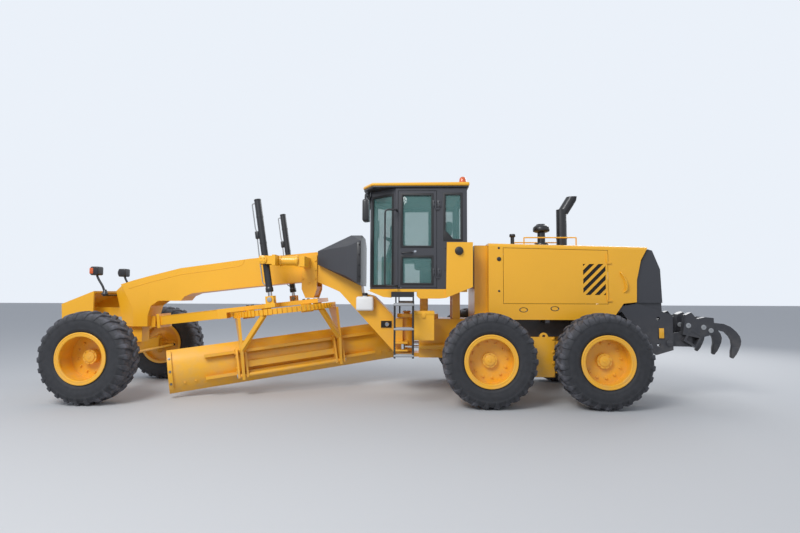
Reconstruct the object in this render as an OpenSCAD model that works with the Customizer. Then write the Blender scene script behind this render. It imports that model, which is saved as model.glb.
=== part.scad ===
// Motor grader: articulated, six wheels, blade under a drawbar and circle, rear ripper.
// Millimetres. +X forward, +Y to the machine's left, +Z up, origin on the ground at mid length.

/* [Running gear] */
// Distance of the tandem pivot behind the origin
tandem_back = 2117.5; // [1800:0.5:2300]
// Front axle to tandem pivot
wheelbase = 6300; // [6200:10:6400]
// Distance between the two wheels of one tandem
tandem_spacing = 1530; // [1440:10:1560]
// Tyre radius out to the lug tips
tyre_r = 640; // [610:5:650]
// Tyre width over the sidewalls
tyre_w = 445; // [420:5:450]
// Middle of each tyre from the machine's centre plane
tyre_y = 1077; // [1070:1:1100]
// Radius of the rim where the tyre's bead sits
rim_r = 330; // [310:5:340]
// Height of the rim flange above the bead seat
flange_h = 26; // [15:1:40]
// Thickness of the rim steel
rim_t = 16; // [10:1:25]
// Radius of the wheel spindles
spindle_r = 62; // [50:1:75]
// Running gap between a spindle and its hub
run_gap = 0.05; // [0.02:0.01:0.1]
// Clearance between pieces that move past each other
move_gap = 8; // [6:1:12]

/* [Frames] */
// Hinge pin of the frames ahead of the tandem pivot
hinge_ahead = 1905; // [1880:5:1930]
// Half width of the front frame beam
beam_half_w = 200; // [180:5:215]
// Radius of the main hinge pin
pin_r = 50; // [40:1:60]
// Radius of the hinge hub on the front frame
hub_r = 112; // [100:1:125]
// Underside of the lower hinge lug
hinge_z0 = 560; // [550:5:570]
// Top of the upper hinge lug
hinge_z1 = 1220; // [1200:5:1230]
// Thickness of each hinge lug
lug_t = 60; // [50:1:70]
// Distance between the outer faces of the chassis rails
rail_w = 700; // [680:10:720]
// Thickness of a chassis rail
rail_t = 100; // [60:5:120]
// Underside of the chassis rails
rail_z0 = 900; // [880:5:920]
// Top of the chassis rails
rail_z1 = 1150; // [1140:5:1155]

/* [Cab and hood] */
// Underside of the cab floor
cab_z0 = 1560; // [1550:5:1570]
// Top of the cab walls
cab_z1 = 3070; // [3040:5:3090]
// Half width of the cab
cab_half_w = 760; // [750:5:770]
// Wall thickness of the cab
cab_t = 40; // [30:1:50]
// Thickness of the cab roof
roof_t = 80; // [60:5:100]
// Window pane thickness
pane_t = 6; // [5:1:8]
// Half width of the hood
hood_half_w = 600; // [590:5:610]
// Sheet thickness of the hood
hood_t = 12; // [8:1:20]
// Top of the hood at its front
hood_z1 = 2281; // [2260:1:2300]
// Gap round a door
door_gap = 6; // [5:1:8]

/* [Blade] */
// Length of the blade
blade_len = 3660; // [3600:10:3700]
// Height of the blade
blade_h = 630; // [600:5:640]
// Thickness of the moldboard
blade_t = 22; // [16:1:30]
// Radius of the moldboard's curve
blade_r = 440; // [420:5:480]
// Turn of the blade away from square across, at rest
circle_angle = 65; // [60:1:66]
// Rearward rise of the drawbar at rest, in degrees
drawbar_pitch = 6.5; // [6:0.1:7]
// Outer radius of the circle
circle_r = 780; // [760:5:800]
// Radius of the lift cylinder barrels
lift_r = 49; // [45:1:55]
// Distance of each lift cylinder from the centre plane
lift_y = 707; // [700:1:715]

/* [Hidden] */
$fn = 48;

yellow = "#f0a818";
dark = "#33343a";
black = "#1d1e20";

tandem_x = -tandem_back;
hinge_x = tandem_x + hinge_ahead;
axle_x = tandem_x + wheelbase;
mid_x = tandem_x + tandem_spacing / 2;
rear_x = tandem_x - tandem_spacing / 2;
hub_z = tyre_r;
rail_y1 = rail_w / 2;
rail_y0 = rail_y1 - rail_t;
touch = 0.3;
rod_gap = 0.5;

// Left side and its mirror image
module both() {
    children();
    mirror([0, 1, 0]) children();
}

// An outline in X and Z, given thickness from y0 to y1
module slab(points, y0, y1) {
    translate([0, y1, 0]) rotate([90, 0, 0]) linear_extrude(y1 - y0) polygon(points);
}

// A box from its lowest to its highest corner
module box(lo, hi) {
    translate(lo) cube(hi - lo);
}

// Round bars along X, Y and Z
module rod_x(x0, x1, y, z, r) {
    translate([x0, y, z]) rotate([0, 90, 0]) cylinder(h = x1 - x0, r = r);
}
module rod_y(x, y0, y1, z, r) {
    translate([x, y0, z]) rotate([-90, 0, 0]) cylinder(h = y1 - y0, r = r);
}
module rod_z(x, y, z0, z1, r) {
    translate([x, y, z0]) cylinder(h = z1 - z0, r = r);
}

// A round bar between two points
module bar(a, b, r) {
    d = b - a;
    len = norm(d);
    translate(a) rotate([0, acos(d[2] / len), atan2(d[1], d[0])]) cylinder(h = len, r = r);
}

// Frame-fixed places: front frame and cab sizes are counted from the hinge, the rest from the tandem
module from_hinge() {
    translate([hinge_x, 0, 0]) children();
}
module from_tandem() {
    translate([tandem_x, 0, 0]) children();
}

// Rear half: hinge frame, chassis rails, tandem
hinge_box_x0 = -1000;
hinge_box_x1 = -190;
hinge_box_half = 250;
artic_z = 735;
artic_back = 650;
artic_y = 330;
artic_lug_gap = 45;
artic_eye_f = 50;
artic_pin_r = 22;

module hinge_frame() color(yellow) from_hinge() {
    difference() {
        box([hinge_box_x0, -hinge_box_half, hinge_z0], [hinge_box_x1, hinge_box_half, rail_z1]);
        box([hinge_box_x0 - 1, -hinge_box_half + 40, hinge_z0 + 40],
            [hinge_box_x1 - 60, hinge_box_half - 40, rail_z1 - 40]);
    }
    for (z = [hinge_z0, hinge_z1 - lug_t]) {
        rod_z(0, 0, z, z + lug_t, hub_r + 40);
        box([hinge_box_x1 - 10, -hub_r - 40, z], [0, hub_r + 40, z + lug_t]);
    }
    box([hinge_box_x1 - 300, -hub_r - 40, rail_z1 - 1], [hinge_box_x1 - 9, hub_r + 40, hinge_z1]);
    rod_z(0, 0, hinge_z0 - 20, hinge_z1 + 20, pin_r);
    // clevis plates for the articulation cylinders
    both() for (s = [-1, 1]) {
        z = artic_z + s * (artic_lug_gap + 12);
        box([-artic_back - 60, hinge_box_half - 1, z - 12], [-artic_back + 60, artic_y + 60, z + 12]);
    }
    lug_span = artic_lug_gap + 24;
    both() rod_z(-artic_back, artic_y, artic_z - lug_span, artic_z + lug_span, artic_pin_r);
}

module rear_frame() color(dark) from_tandem() difference() {
    union() {
        both() box([-1730, rail_y0, rail_z0], [hinge_ahead + hinge_box_x0 - touch, rail_y1, rail_z1]);
        // cross members: place along X and width
        for (c = [[-1730, 60], [-900, 120], [-60, 120], [785, 119]])
            box([c[0], -rail_y0 - 1, rail_z0], [c[0] + c[1], rail_y0 + 1, rail_z1]);
        // saddles that carry the axle housing
        both() box([-200, rail_y0, hub_z], [200, rail_y1, rail_z0 + 1]);
        // outriggers under the hood's side strips
        for (x = [-1070, -180, 560]) both()
            box([x, rail_y1 - 1, strip_z0 - 50], [x + 60, hood_half_w, strip_z0 - touch]);
    }
    rod_y(0, -rail_w, rail_w, hub_z, housing_r + touch);
}

housing_r = 140;
case_y0 = 560;
case_y1 = 790;
case_r = 215;

module tandem_axle() color(yellow) from_tandem() {
    rod_y(0, -case_y0 - 1, case_y0 + 1, hub_z, housing_r);
    both() {
        box([-tandem_spacing / 2, case_y0, hub_z - case_r],
            [tandem_spacing / 2, case_y1, hub_z + case_r]);
        for (s = [-1, 1]) {
            rod_y(s * tandem_spacing / 2, case_y0, case_y1, hub_z, case_r);
            rod_y(s * tandem_spacing / 2, case_y1 - 1, tyre_y + disc_in_rear + 40, hub_z, spindle_r);
        }
        // cover plate and lifting eye between the wheels
        box([-190, case_y1 - 1, hub_z - 270], [190, case_y1 + 25, hub_z + 290]);
        difference() {
            rod_y(-40, case_y1 - 1, case_y1 + 25, hub_z + 290, 60);
            rod_y(-40, case_y1 - 2, case_y1 + 26, hub_z + 300, 22);
        }
    }
}

// Wheels: the disc sits inside the tyre's middle plane on the front wheels
disc_in_rear = 0;
disc_in_front = -95;
hub_cap_r = 100;

// Tyre in flat facets one lug wide: bars across the tread, sidewall cones, and a dish inside them
lugs = 26;
lug_pitch = 360 / lugs;
lug_half = 3.4;
lug_root = 604;
tread_half = 0.40 * tyre_w;
bulge_r = 0.5 * (rim_r + tyre_r) + 5;
function on_ring(r, a) = [r * cos(a), r * sin(a)];
function facet_ring(r) = [for (k = [0:lugs - 1]) on_ring(r, 90 + (k + 0.5) * lug_pitch)];
lug_tip = tyre_r / cos(lug_half);
lug_corners = [[-lug_half, lug_tip], [lug_half, lug_tip], [lug_pitch / 2, lug_root]];
lug_ring = [for (k = [0:lugs - 1], c = lug_corners) on_ring(c[1], 90 + k * lug_pitch + c[0])];

// A cone from place z0 and radius r0 to place z1 and radius r1
module facet_cone(z0, r0, z1, r1) translate([0, 0, z0])
    linear_extrude(z1 - z0, scale = r1 / r0) polygon(facet_ring(r0));

module tyre_body() difference() {
    union() {
        linear_extrude(2 * tread_half, center = true) polygon(lug_ring);
        for (m = [0, 1]) mirror([0, 0, m])
            facet_cone(tread_half - 2, lug_root - 4, tyre_w / 2, bulge_r + 8);
    }
    for (m = [0, 1]) mirror([0, 0, m])
        facet_cone(0.355 * tyre_w, rim_r + 20, 0.52 * tyre_w, bulge_r + 12);
    linear_extrude(2 * tyre_w, center = true) polygon(facet_ring((rim_r + touch) / cos(lug_pitch / 2)));
}

module tyre(x, side) color(black) translate([x, side * tyre_y, hub_z]) rotate([-90 * side, 0, 0])
    resize([0, 0, tyre_w]) tyre_body();

module rim(x, side, disc_in, cap) {
    rim_half = 0.46 * tyre_w;
    seat = 0.36 * tyre_w;
    color(yellow) translate([x, side * tyre_y, hub_z]) rotate([-90 * side, 0, 0]) {
        rotate_extrude($fn = 96) polygon([
            [rim_r - rim_t, -rim_half], [rim_r + flange_h, -rim_half], [rim_r + flange_h, -rim_half + 14],
            [rim_r, -seat], [rim_r, seat], [rim_r + flange_h, rim_half - 14],
            [rim_r + flange_h, rim_half], [rim_r - rim_t, rim_half]]);
        difference() {
            union() {
                translate([0, 0, disc_in - 20]) cylinder(h = 20, r = rim_r - rim_t + 1);
                translate([0, 0, disc_in - 60]) cylinder(h = 61 + cap, r = hub_cap_r);
            }
            translate([0, 0, disc_in - 61]) cylinder(h = 61 + 40 + touch, r = spindle_r + run_gap);
        }
    }
}

// Engine hood and what is under it, counted from the tandem pivot
hood_x1 = 695;
door_x0 = -1035;
door_x1 = 485;
door_z0 = 1390;
door_top = 62;
strip_z0 = 1160;
hood_fall = 57;
hood_len = 2309;
hood_side = [[hood_x1, strip_z0], [hood_x1, hood_z1], [hood_x1 - hood_len, hood_z1 - hood_fall],
    [-1510, 2034], [-1446, 1743], [-1438, 1420], [-1250, 1400], [-1080, strip_z0]];

// The hood's top falls to the rear, and the side doors' top edge runs along it
function hood_top(x) = hood_z1 - hood_fall * (hood_x1 - x) / hood_len;
function door_edge(x, g) = [x, hood_top(x) - door_top - g];
function door_outline(g) = [[door_x0 + g, door_z0 + g], [door_x1 - g, door_z0 + g],
    door_edge(door_x1 - g, g), door_edge(door_x0 + g, g)];

module hood() color(yellow) from_tandem() {
    hood_body();
    both() for (z = hood_hinge_z) hinge_ear(door_x0 + 16, hood_half_w + 8, z, 118);
}

module hood_body() difference() {
    union() {
        difference() {
            slab(hood_side, -hood_half_w, hood_half_w);
            both() hood_corner();
            // hollow inside, open below and behind, narrower under the rounded corners
            hood_hollow(hood_t, hood_round);
            hood_hollow(hood_round - 5, hood_t);
        }
        // narrow cowl between the hood and the cab
        difference() {
            box([hood_x1 - 1, -430, rail_z1 + 1], [hood_x1 + 190, 430, hood_z1 - 20]);
            box([hood_x1 - 2, -430 + hood_t, rail_z1], [hood_x1 + 190 - hood_t, 430 - hood_t,
                hood_z1 - 20 - hood_t]);
        }
        // guard rail on top
        both() {
            for (x = [-650, 130]) rod_z(x, 380, hood_z1 - 60, hood_z1 + 105, 10);
            bar([-650, 380, hood_z1 + 105], [130, 380, hood_z1 + 105], 10);
        }
    }
    // side door openings
    both() slab(door_outline(0), hood_half_w - hood_t - 1, hood_half_w + 1);
    // holes for the exhaust, intake and filler
    for (s = stacks) rod_z(s[0], s[1], hood_z1 - 100, hood_z1 + 10, s[2] + 3);
}
hood_hinge_z = [1450, 2000];
hood_round = 45;

// What is cut away to round the hood's long top corner
module hood_corner() translate([hood_x1, 0, hood_z1]) rotate([0, -atan(hood_fall / hood_len), 0])
    difference() {
        box([-hood_len - 60, hood_half_w - hood_round, -hood_round], [6, hood_half_w + 1, 6]);
        rod_x(-hood_len - 61, 7, hood_half_w - hood_round, -hood_round, hood_round);
    }

module hood_hollow(side, top) slab([[hood_x1 - hood_t, strip_z0 - 1], [hood_x1 - hood_t, hood_z1 - top],
    [-1800, hood_top(-1800) - top], [-1800, strip_z0 - 1]], -hood_half_w + side, hood_half_w - side);

// A hood door with its slanted louvre slots
slot_pitch = 92;
module hood_door(side) color(yellow) from_tandem() mirror([0, side < 0 ? 1 : 0, 0]) difference() {
    union() {
        slab(door_outline(door_gap), hood_half_w - hood_t, hood_half_w);
        for (z = hood_hinge_z) rod_z(door_x0 + 16, hood_half_w + 8, z, z + 120, hinge_pin_r + 6);
    }
    for (z = hood_hinge_z) rod_z(door_x0 + 16, hood_half_w + 8, z - 1, z + 121, hinge_pin_r + run_gap);
    intersection() {
        box([-1000, hood_half_w - hood_t - 5, 1523], [-674, hood_half_w + 5, 1975]);
        for (k = [-3:3]) translate([-837, hood_half_w, 1749 + k * slot_pitch * sqrt(2)])
            rotate([0, 45, 0]) cube([900, 60, 52], center = true);
    }
}

stacks = [[-545, 0, 80], [-225, 0, 60], [230, 0, 40]];

module engine_stacks() color(black) from_tandem() {
    // exhaust pipe with its tip turned to the rear
    rod_z(stacks[0][0], stacks[0][1], hood_z1 - 130, 2870, 80);
    intersection() {
        translate([stacks[0][0], stacks[0][1], 2790]) rotate([0, -32, 0]) cylinder(h = 420, r = 80);
        box([-770, -100, 2800], [-400, 100, 3075]);
    }
    // intake pre-cleaner
    rod_z(stacks[1][0], stacks[1][1], hood_z1 - 130, 2530, 60);
    rod_z(stacks[1][0], stacks[1][1], 2529, 2590, 125);
    translate([stacks[1][0], stacks[1][1], 2589]) cylinder(h = 50, r1 = 110, r2 = 70);
    // filler cap
    rod_z(stacks[2][0], stacks[2][1], hood_z1 - 130, 2440, 30);
    rod_z(stacks[2][0], stacks[2][1], 2439, 2480, 45);
    // plate under the hood top that carries all three, on its posts from the engine
    box([-640, -90, hood_z1 - 150], [290, 90, hood_z1 - 129]);
    for (x = [-500, 100]) box([x, -60, 1900 + touch], [x + 80, 60, hood_z1 - 149]);
}

module rear_grille() color(dark) from_tandem() {
    difference() {
        // radiator housing with its rear face leaning forward at the top
        slab([[-1640, strip_z0 + 60], [-1830, strip_z0 + 60], [-1800, 1900], [-1690, 2175],
            [-1625, 2195], [-1525, 2010], [-1462, 1740], [-1452, 1425], [-1460, strip_z0 + 60]], -560, 560);
        // core opening seen from behind
        slab([[-1850, 1330], [-1850, 2020], [-1730, 2020], [-1770, 1330]], -440, 440);
        // room for the ripper's side plates
        both() box([-1850, 525, strip_z0], [-1430, 561, 1412]);
    }
    // foot on the chassis rails
    box([-1730, -rail_y1, rail_z1 + touch], [-1640, rail_y1, strip_z0 + 61]);
}

module engine_block() color(dark) from_tandem()
    box([-820, -230, rail_z1 + touch], [360, 230, 1900]);

// Cab: plan outline counted from the hinge
cab_front_x = 550;
cab_front_half = 390;
cab_post_x = 150;
cab_rear_x = -880;
cab_door_x0 = -445;
cab_door_x1 = 119;
cab_plan = [[cab_front_x, -cab_front_half], [cab_front_x, cab_front_half], [cab_post_x, cab_half_w],
    [cab_rear_x, cab_half_w], [cab_rear_x, -cab_half_w], [cab_post_x, -cab_half_w]];
base_z0 = 1474;
glass_z0 = 1640;
glass_z1 = 2990;
cab_panel_z1 = 2275;

// The cab's plan moved inwards by d
function inner_plan(d) = [
    [cab_front_x - d, -cab_front_half + 0.35 * d], [cab_front_x - d, cab_front_half - 0.35 * d],
    [cab_post_x - 0.3 * d, cab_half_w - d], [cab_rear_x + d, cab_half_w - d],
    [cab_rear_x + d, -cab_half_w + d], [cab_post_x - 0.3 * d, -cab_half_w + d]];

module cab_base() color(yellow) from_hinge() {
    // floor plate
    translate([0, 0, cab_z0]) linear_extrude(40) polygon(cab_plan);
    // cab mounts down to the hinge frame
    for (x = [-820, -330]) both()
        box([x, 160, rail_z1 + touch], [x + 120, 240, cab_z0 + 1]);
    both() {
        // sill pieces below the door
        slab([[560, cab_z0 + 20], [215, cab_z0 + 20], [215, base_z0], [330, base_z0 + 10]], 690, 700);
        slab([[215, cab_z0 + 1], [215, base_z0], [330, base_z0 + 10], [330, cab_z0 + 1]], 560, 700);
        slab([[-160, cab_z0 + 20], [-160, base_z0 + 20], [-190, base_z0 - 10], [-480, base_z0 - 10],
            [-572, base_z0], [-587, cab_z0 + 1]], 640, cab_half_w);
        // painted panel round the rear lower corner
        slab([[-587, cab_panel_z1], [-959, cab_panel_z1], [-956, 1632], [-572, base_z0]],
            cab_half_w + touch, cab_half_w + 30);
        slab([[cab_rear_x - touch, cab_panel_z1], [-959, cab_panel_z1], [-956, 1632],
            [cab_rear_x - touch, 1598]], 560, cab_half_w + 1);
        slab([[-572, base_z0], [-572, cab_z0 + 1], [-770, cab_z0 + 1], [-770, 1556]],
            cab_half_w - 20, cab_half_w + 1);
    }
}

module cab_window_holes() {
    // front and rear windows
    box([cab_front_x - 100, -cab_front_half + 50, glass_z0],
        [cab_front_x + 10, cab_front_half - 50, glass_z1]);
    box([cab_rear_x - 10, -620, 2300], [cab_rear_x + 100, 620, glass_z1]);
    both() {
        // angled corner windows
        translate([cab_front_x, cab_front_half, 0]) rotate([0, 0, corner_turn])
            box([45, -90, glass_z0], [corner_len - 55, 60, glass_z1]);
        // rear quarter windows
        box([cab_rear_x + 70, cab_half_w - 100, 2300], [-545, cab_half_w + 10, glass_z1]);
    }
}
corner_len = norm([cab_front_x - cab_post_x, cab_half_w - cab_front_half]);
corner_turn = atan2(cab_half_w - cab_front_half, cab_post_x - cab_front_x);

hinge_pin_r = 6;
cab_hinge_z = [1780, 2770];

// A hinge ear on the fixed side with the pin that stands on it
module hinge_ear(x, y, z, h) {
    box([x - 56, y - 9, z - 22], [x - 17, y + 12, z - touch]);
    box([x - 18, y - 5, z - 22], [x, y + 12, z - touch]);
    rod_z(x, y, z - 22, z - touch, hinge_pin_r + 1.5);
    rod_z(x, y, z - 1, z + h, hinge_pin_r);
}

module cab_shell() color(dark) from_hinge() {
    shell_walls();
    both() for (z = cab_hinge_z) hinge_ear(cab_door_x0 + 16, cab_half_w + 8, z, 118);
}

module shell_walls() difference() {
    translate([0, 0, cab_z0 + 40 + touch]) linear_extrude(cab_z1 - cab_z0 - 40 - touch) difference() {
        polygon(cab_plan);
        polygon(inner_plan(cab_t));
    }
    cab_window_holes();
    both() box([cab_door_x0, cab_half_w - cab_t - 1, cab_z0 + 60],
        [cab_door_x1, cab_half_w + 1, cab_z1 - 40]);
}

module cab_glass() color("#a8d8d0", 0.4) from_hinge() {
    x = cab_front_x - cab_t / 2;
    box([x, -cab_front_half + 50, glass_z0], [x + pane_t, cab_front_half - 50, glass_z1]);
    box([cab_rear_x + 17, -620, 2300], [cab_rear_x + 17 + pane_t, 620, glass_z1]);
    both() {
        translate([cab_front_x, cab_front_half, 0]) rotate([0, 0, corner_turn])
            box([45, 14, glass_z0], [corner_len - 55, 14 + pane_t, glass_z1]);
        box([cab_rear_x + 70, cab_half_w - 20, 2300], [-545, cab_half_w - 20 + pane_t, glass_z1]);
    }
}

module cab_roof() color(yellow) from_hinge() {
    translate([0, 0, cab_z1 + touch]) linear_extrude(roof_t) difference() {
        polygon([[652, -420], [652, 420], [200, 800], [-916, 800], [-916, -800], [200, -800]]);
    }
}

// Grab bars, mirrors, work lamps under the roof's front edge, and the beacon on top
grab_x = 300;
mirror_y = 1015;
module cab_fittings() color(black) from_hinge() {
    roof_z0 = cab_z1;
    both() {
        rod_z(grab_x, 865, 1630, 2760, 14);
        for (z = [1645, 2735]) {
            box([122, cab_half_w + touch, z - 11], [146, 876, z + 11]);
            rod_x(145, grab_x, 865, z, 10);
        }
        rod_z(570, 400, 2920, roof_z0, 12);
        rod_y(570, 400, mirror_y, 2932, 10);
        rod_z(570, mirror_y, 2800, 2944, 12);
        box([517, mirror_y - 90, 2536], [605, mirror_y + 90, 2848]);
        box([560, 235, 2935], [640, 375, 3030]);
        rod_z(600, 305, 3029, roof_z0, 14);
    }
    rod_z(-833.5, 600, roof_z0 + roof_t + 2 * touch, roof_z0 + roof_t + 20, 62);
    rod_z(-833.5, 600, roof_z0 + roof_t + 19, roof_z0 + roof_t + 98, 54);
    translate([-833.5, 600, roof_z0 + roof_t + 97]) cylinder(h = 22, r1 = 54, r2 = 30);
}

module cab_interior() color(black) from_hinge() {
    z = cab_z0 + 40 + touch;
    // seat on its box
    box([-560, -180, z], [-200, 180, z + 320]);
    box([-620, -250, z + 319], [-100, 250, z + 440]);
    slab([[-620, z + 439], [-500, z + 439], [-590, z + 1080], [-690, z + 1080]], -230, 230);
    // console and steering wheel
    box([260, -110, z], [400, 110, z + 520]);
    bar([300, 0, z + 500], [200, 0, z + 760], 30);
    translate([200, 0, z + 760]) rotate([0, -21, 0]) {
        rotate_extrude() translate([180, 0]) circle(r = 16, $fn = 24);
        translate([-170, -18, -10]) cube([340, 36, 20]);
    }
}

// A cab door with its two windows, hinged at the rear edge
module cab_door(side) color(dark) from_hinge() mirror([0, side < 0 ? 1 : 0, 0]) {
    z0 = cab_z0 + 60 + door_gap;
    z1 = cab_z1 - 40 - door_gap;
    difference() {
        box([cab_door_x0 + door_gap, cab_half_w - cab_t, z0], [cab_door_x1 - door_gap, cab_half_w, z1]);
        box([cab_door_x0 + 60, cab_half_w - cab_t - 1, 2205], [cab_door_x1 - 50, cab_half_w + 1, z1 - 45]);
        box([cab_door_x0 + 60, cab_half_w - cab_t - 1, z0 + 40], [cab_door_x1 - 50, cab_half_w + 1, 2075]);
    }
    for (z = cab_hinge_z) difference() {
        rod_z(cab_door_x0 + 16, cab_half_w + 8, z, z + 120, hinge_pin_r + 6);
        rod_z(cab_door_x0 + 16, cab_half_w + 8, z - 1, z + 121, hinge_pin_r + run_gap);
    }
}

// Ladders: rails, steps and top platform on each side
module ladders() color("#3a3a3c") from_hinge() both() {
    for (x = [-104, 146]) {
        rod_z(x, 1150, 660, 1400, 14);
        // stay to the cab sill
        box([x - 10, cab_half_w - 60, 1385], [x + 10, 1150, 1400]);
        box([x - 10, cab_half_w - 60, 1385], [x + 10, cab_half_w - 40, cab_z0 - touch]);
    }
    // footplate box under the door
    box([-116, cab_half_w - 70, base_z0 + 10], [211, cab_half_w + 30, cab_z0 - touch]);
    // steps: height and depth towards the machine
    for (s = [[680, 90], [1040, 120], [1370, 330]])
        box([-116, 1165 - s[1], s[0]], [158, 1165, s[0] + 25]);
}

module tool_box() color(yellow) from_hinge() {
    difference() {
        box([-400, 560, 880], [-110, 900, 1284]);
        box([-392, 568, 888], [-118, 892, 1276]);
    }
    for (z = [930, 1100]) box([-330, hinge_box_half + touch, z], [-210, 561, z + 25]);
}

// Ripper on the rear frame, counted from the tandem pivot
rip_pivot_x = -1900;
rip_pivot_z = 830;
rip_half = 550;
lash_x = -1751;
lash_z = [808, 1184];
lash_r = 24;

module ripper_bracket() color(dark) from_tandem() {
    both() difference() {
        union() {
            slab([[-1185, 1345], [-1440, 1405], [-1959, 1237], [-1959, 732], [-1716, 659], [-1500, 780],
                [-1340, 1130]], rip_half - 20, rip_half + 20);
            rod_y(-1185, rip_half - 20, rip_half + 20, 1422 - 75, 75);
        }
        for (z = lash_z) rod_y(lash_x, rip_half - 21, rip_half + 21, z, lash_r);
    }
    // cross plates onto the chassis rails
    box([-1780, -rip_half + 19, rail_z0], [-1730 - touch, rip_half - 19, rail_z1]);
    rod_y(rip_pivot_x, -rip_half + 19, rip_half - 19, rip_pivot_z, 30);
    // upper cylinder lug
    both() box([rip_cyl_x - 35, 50, rip_cyl_z - 40], [-1779, 70, rip_cyl_z + 40]);
    rod_y(rip_cyl_x, -71, 71, rip_cyl_z, 22);
}

// Swinging arm with the toolbar and its curved teeth
bar_x = -2280;
bar_z = 900;
bar_half = 105;
holder_y = [-460, -230, 0, 230, 460];
tooth_y = [-460, 0, 460];
tooth_t = 45;
rip_cyl_x = -1870;
rip_cyl_z = 1100;
rip_eye_x = -2190;
rip_eye_z = 1130;
tooth_side = [[-2384, 1128], [-2499, 1136], [-2598, 1122], [-2734, 1108], [-2833, 1065], [-2913, 993],
    [-2961, 928], [-2978, 863], [-2968, 798], [-2941, 735], [-2906, 668], [-2856, 606], [-2830, 624],
    [-2835, 715], [-2850, 790], [-2842, 870], [-2805, 934], [-2749, 990], [-2660, 1015], [-2500, 1010],
    [-2384, 1000]];

module ripper_arm() color(dark) from_tandem() {
    // arm plates round the pivot
    for (y = [-430, -150, 150, 430]) difference() {
        slab([[rip_pivot_x + 55, rip_pivot_z - 55], [rip_pivot_x + 55, rip_pivot_z + 55],
            [rip_pivot_x - 100, 960], [bar_x, bar_z + 120], [bar_x - 30, bar_z - 130]], y - 15, y + 15);
        rod_y(rip_pivot_x, y - 16, y + 16, rip_pivot_z, 30 + run_gap);
    }
    // turned square toolbar, open at its ends
    translate([bar_x, 0, bar_z]) rotate([0, -30, 0]) difference() {
        box([-bar_half, -rip_half + 40, -bar_half], [bar_half, rip_half - 40, bar_half]);
        for (s = [-1, 1]) translate([0, s * (rip_half - 90), 0]) cube([150, 102, 150], center = true);
    }
    // ears for the cylinder's eye
    both() slab([[rip_eye_x + 35, bar_z + 80], [rip_eye_x + 35, rip_eye_z + 40],
        [rip_eye_x - 35, rip_eye_z + 40], [rip_eye_x - 90, bar_z + 80]], 58, 78);
    // holders, three of them with a tooth
    for (y = holder_y) ripper_holder(y, y == 0 ? 105 : 0);
    for (y = tooth_y) slab(tooth_side, y - tooth_t / 2, y + tooth_t / 2);
}

// Holder of one tooth; the middle one starts further back, behind the cylinder's eye
module ripper_holder(y, back) slab([[bar_x + 150 - back, bar_z + 50], [bar_x + 100 - back, 1236],
    [bar_x + 20 - back, 1272], [bar_x - 60, 1180], [bar_x - 180, 1206], [-2580, 1194], [-2590, 960],
    [bar_x - 90, bar_z]], y - 45, y + 45);

// Ripper cylinder from the bracket to the toolbar
rip_base = [rip_cyl_x, 0, rip_cyl_z];
rip_eye = [rip_eye_x, 0, rip_eye_z];
rip_len = norm(rip_eye - rip_base);
rip_dir = (rip_eye - rip_base) / rip_len;
module ripper_barrel() color(dark) from_tandem() difference() {
    union() {
        rod_y(rip_cyl_x, -45, 45, rip_cyl_z, 45);
        bar(rip_base, rip_base + 240 * rip_dir, 42);
    }
    rod_y(rip_cyl_x, -46, 46, rip_cyl_z, 22 + run_gap);
    bar(rip_base + 60 * rip_dir, rip_base + 241 * rip_dir, 25 + rod_gap);
}
module ripper_rod() color("silver") from_tandem() {
    bar(rip_base + 66 * rip_dir, rip_eye - 20 * rip_dir, 25);
    rod_y(rip_eye_x, -50, 50, rip_eye_z, 32);
}

// Front frame, counted from the hinge pin
beam_x0 = 1415;
front_axle_f = wheelbase - hinge_ahead;
leg_x0 = front_axle_f - 330;

// Socket on the leg for the drawbar's ball
module ball_socket() color(yellow) from_hinge() difference() {
    box([ball_f - 55, -90, ball_z - 85], [leg_x0 - touch, 90, ball_z + 85]);
    translate([ball_f, 0, ball_z]) ball_cavity();
    box([ball_f - 60, -42, ball_z - 46], [ball_f, 42, ball_z + 46]);
}

module front_beam() color(yellow) from_hinge() {
    a = front_axle_f;
    slab([[beam_x0, 2177], [2453, 2074], [a - 1310, 1987], [a - 835, 1923], [leg_x0, 1795],
        [leg_x0, 1175], [a - 375, 1326], [a - 493, 1408], [a - 855, 1409], [a - 911, 1477],
        [a - 1027, 1526], [2523, 1622], [1817, 1693], [beam_x0, 1720]], -beam_half_w, beam_half_w);
}

module front_leg() color(yellow) from_hinge() difference() {
    leg_body();
    translate([ball_f, 0, ball_z]) ball_cavity();
}
module leg_body() {
    a = front_axle_f;
    slab([[leg_x0, 1005], [a - 101, 1005], [a - 85, 1280], [a + 5, 1460], [a + 115, 1665], [a - 75, 1725],
        [leg_x0, 1795]], -beam_half_w, beam_half_w);
    // plates that narrow towards the nose
    difference() {
        slab([[a - 102, 1005], [a + 85, 1005], [a + 165, 1300], [a + 245, 1560], [a + 114, 1665],
            [a + 5, 1461], [a - 85, 1281]], -beam_half_w, beam_half_w);
        both() translate([a - 102, beam_half_w, 900]) rotate([0, 0, -16]) cube([500, 300, 900]);
    }
}

module front_nose() color(yellow) from_hinge() {
    a = front_axle_f;
    difference() {
        slab([[a + 413, 1200], [a + 898, 1128], [a + 913, 1357], [a + 413, 1558]], -400, 400);
        // hollow behind the front plate
        slab([[a + 395, 1100], [a + 845, 1100], [a + 845, 1355], [a + 395, 1535]], -370, 370);
    }
    // stem back to the leg
    slab([[a + 125, 1150], [a + 165, 1298], [a + 846, 1298], [a + 846, 1150]], -90, 90);
}

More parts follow.
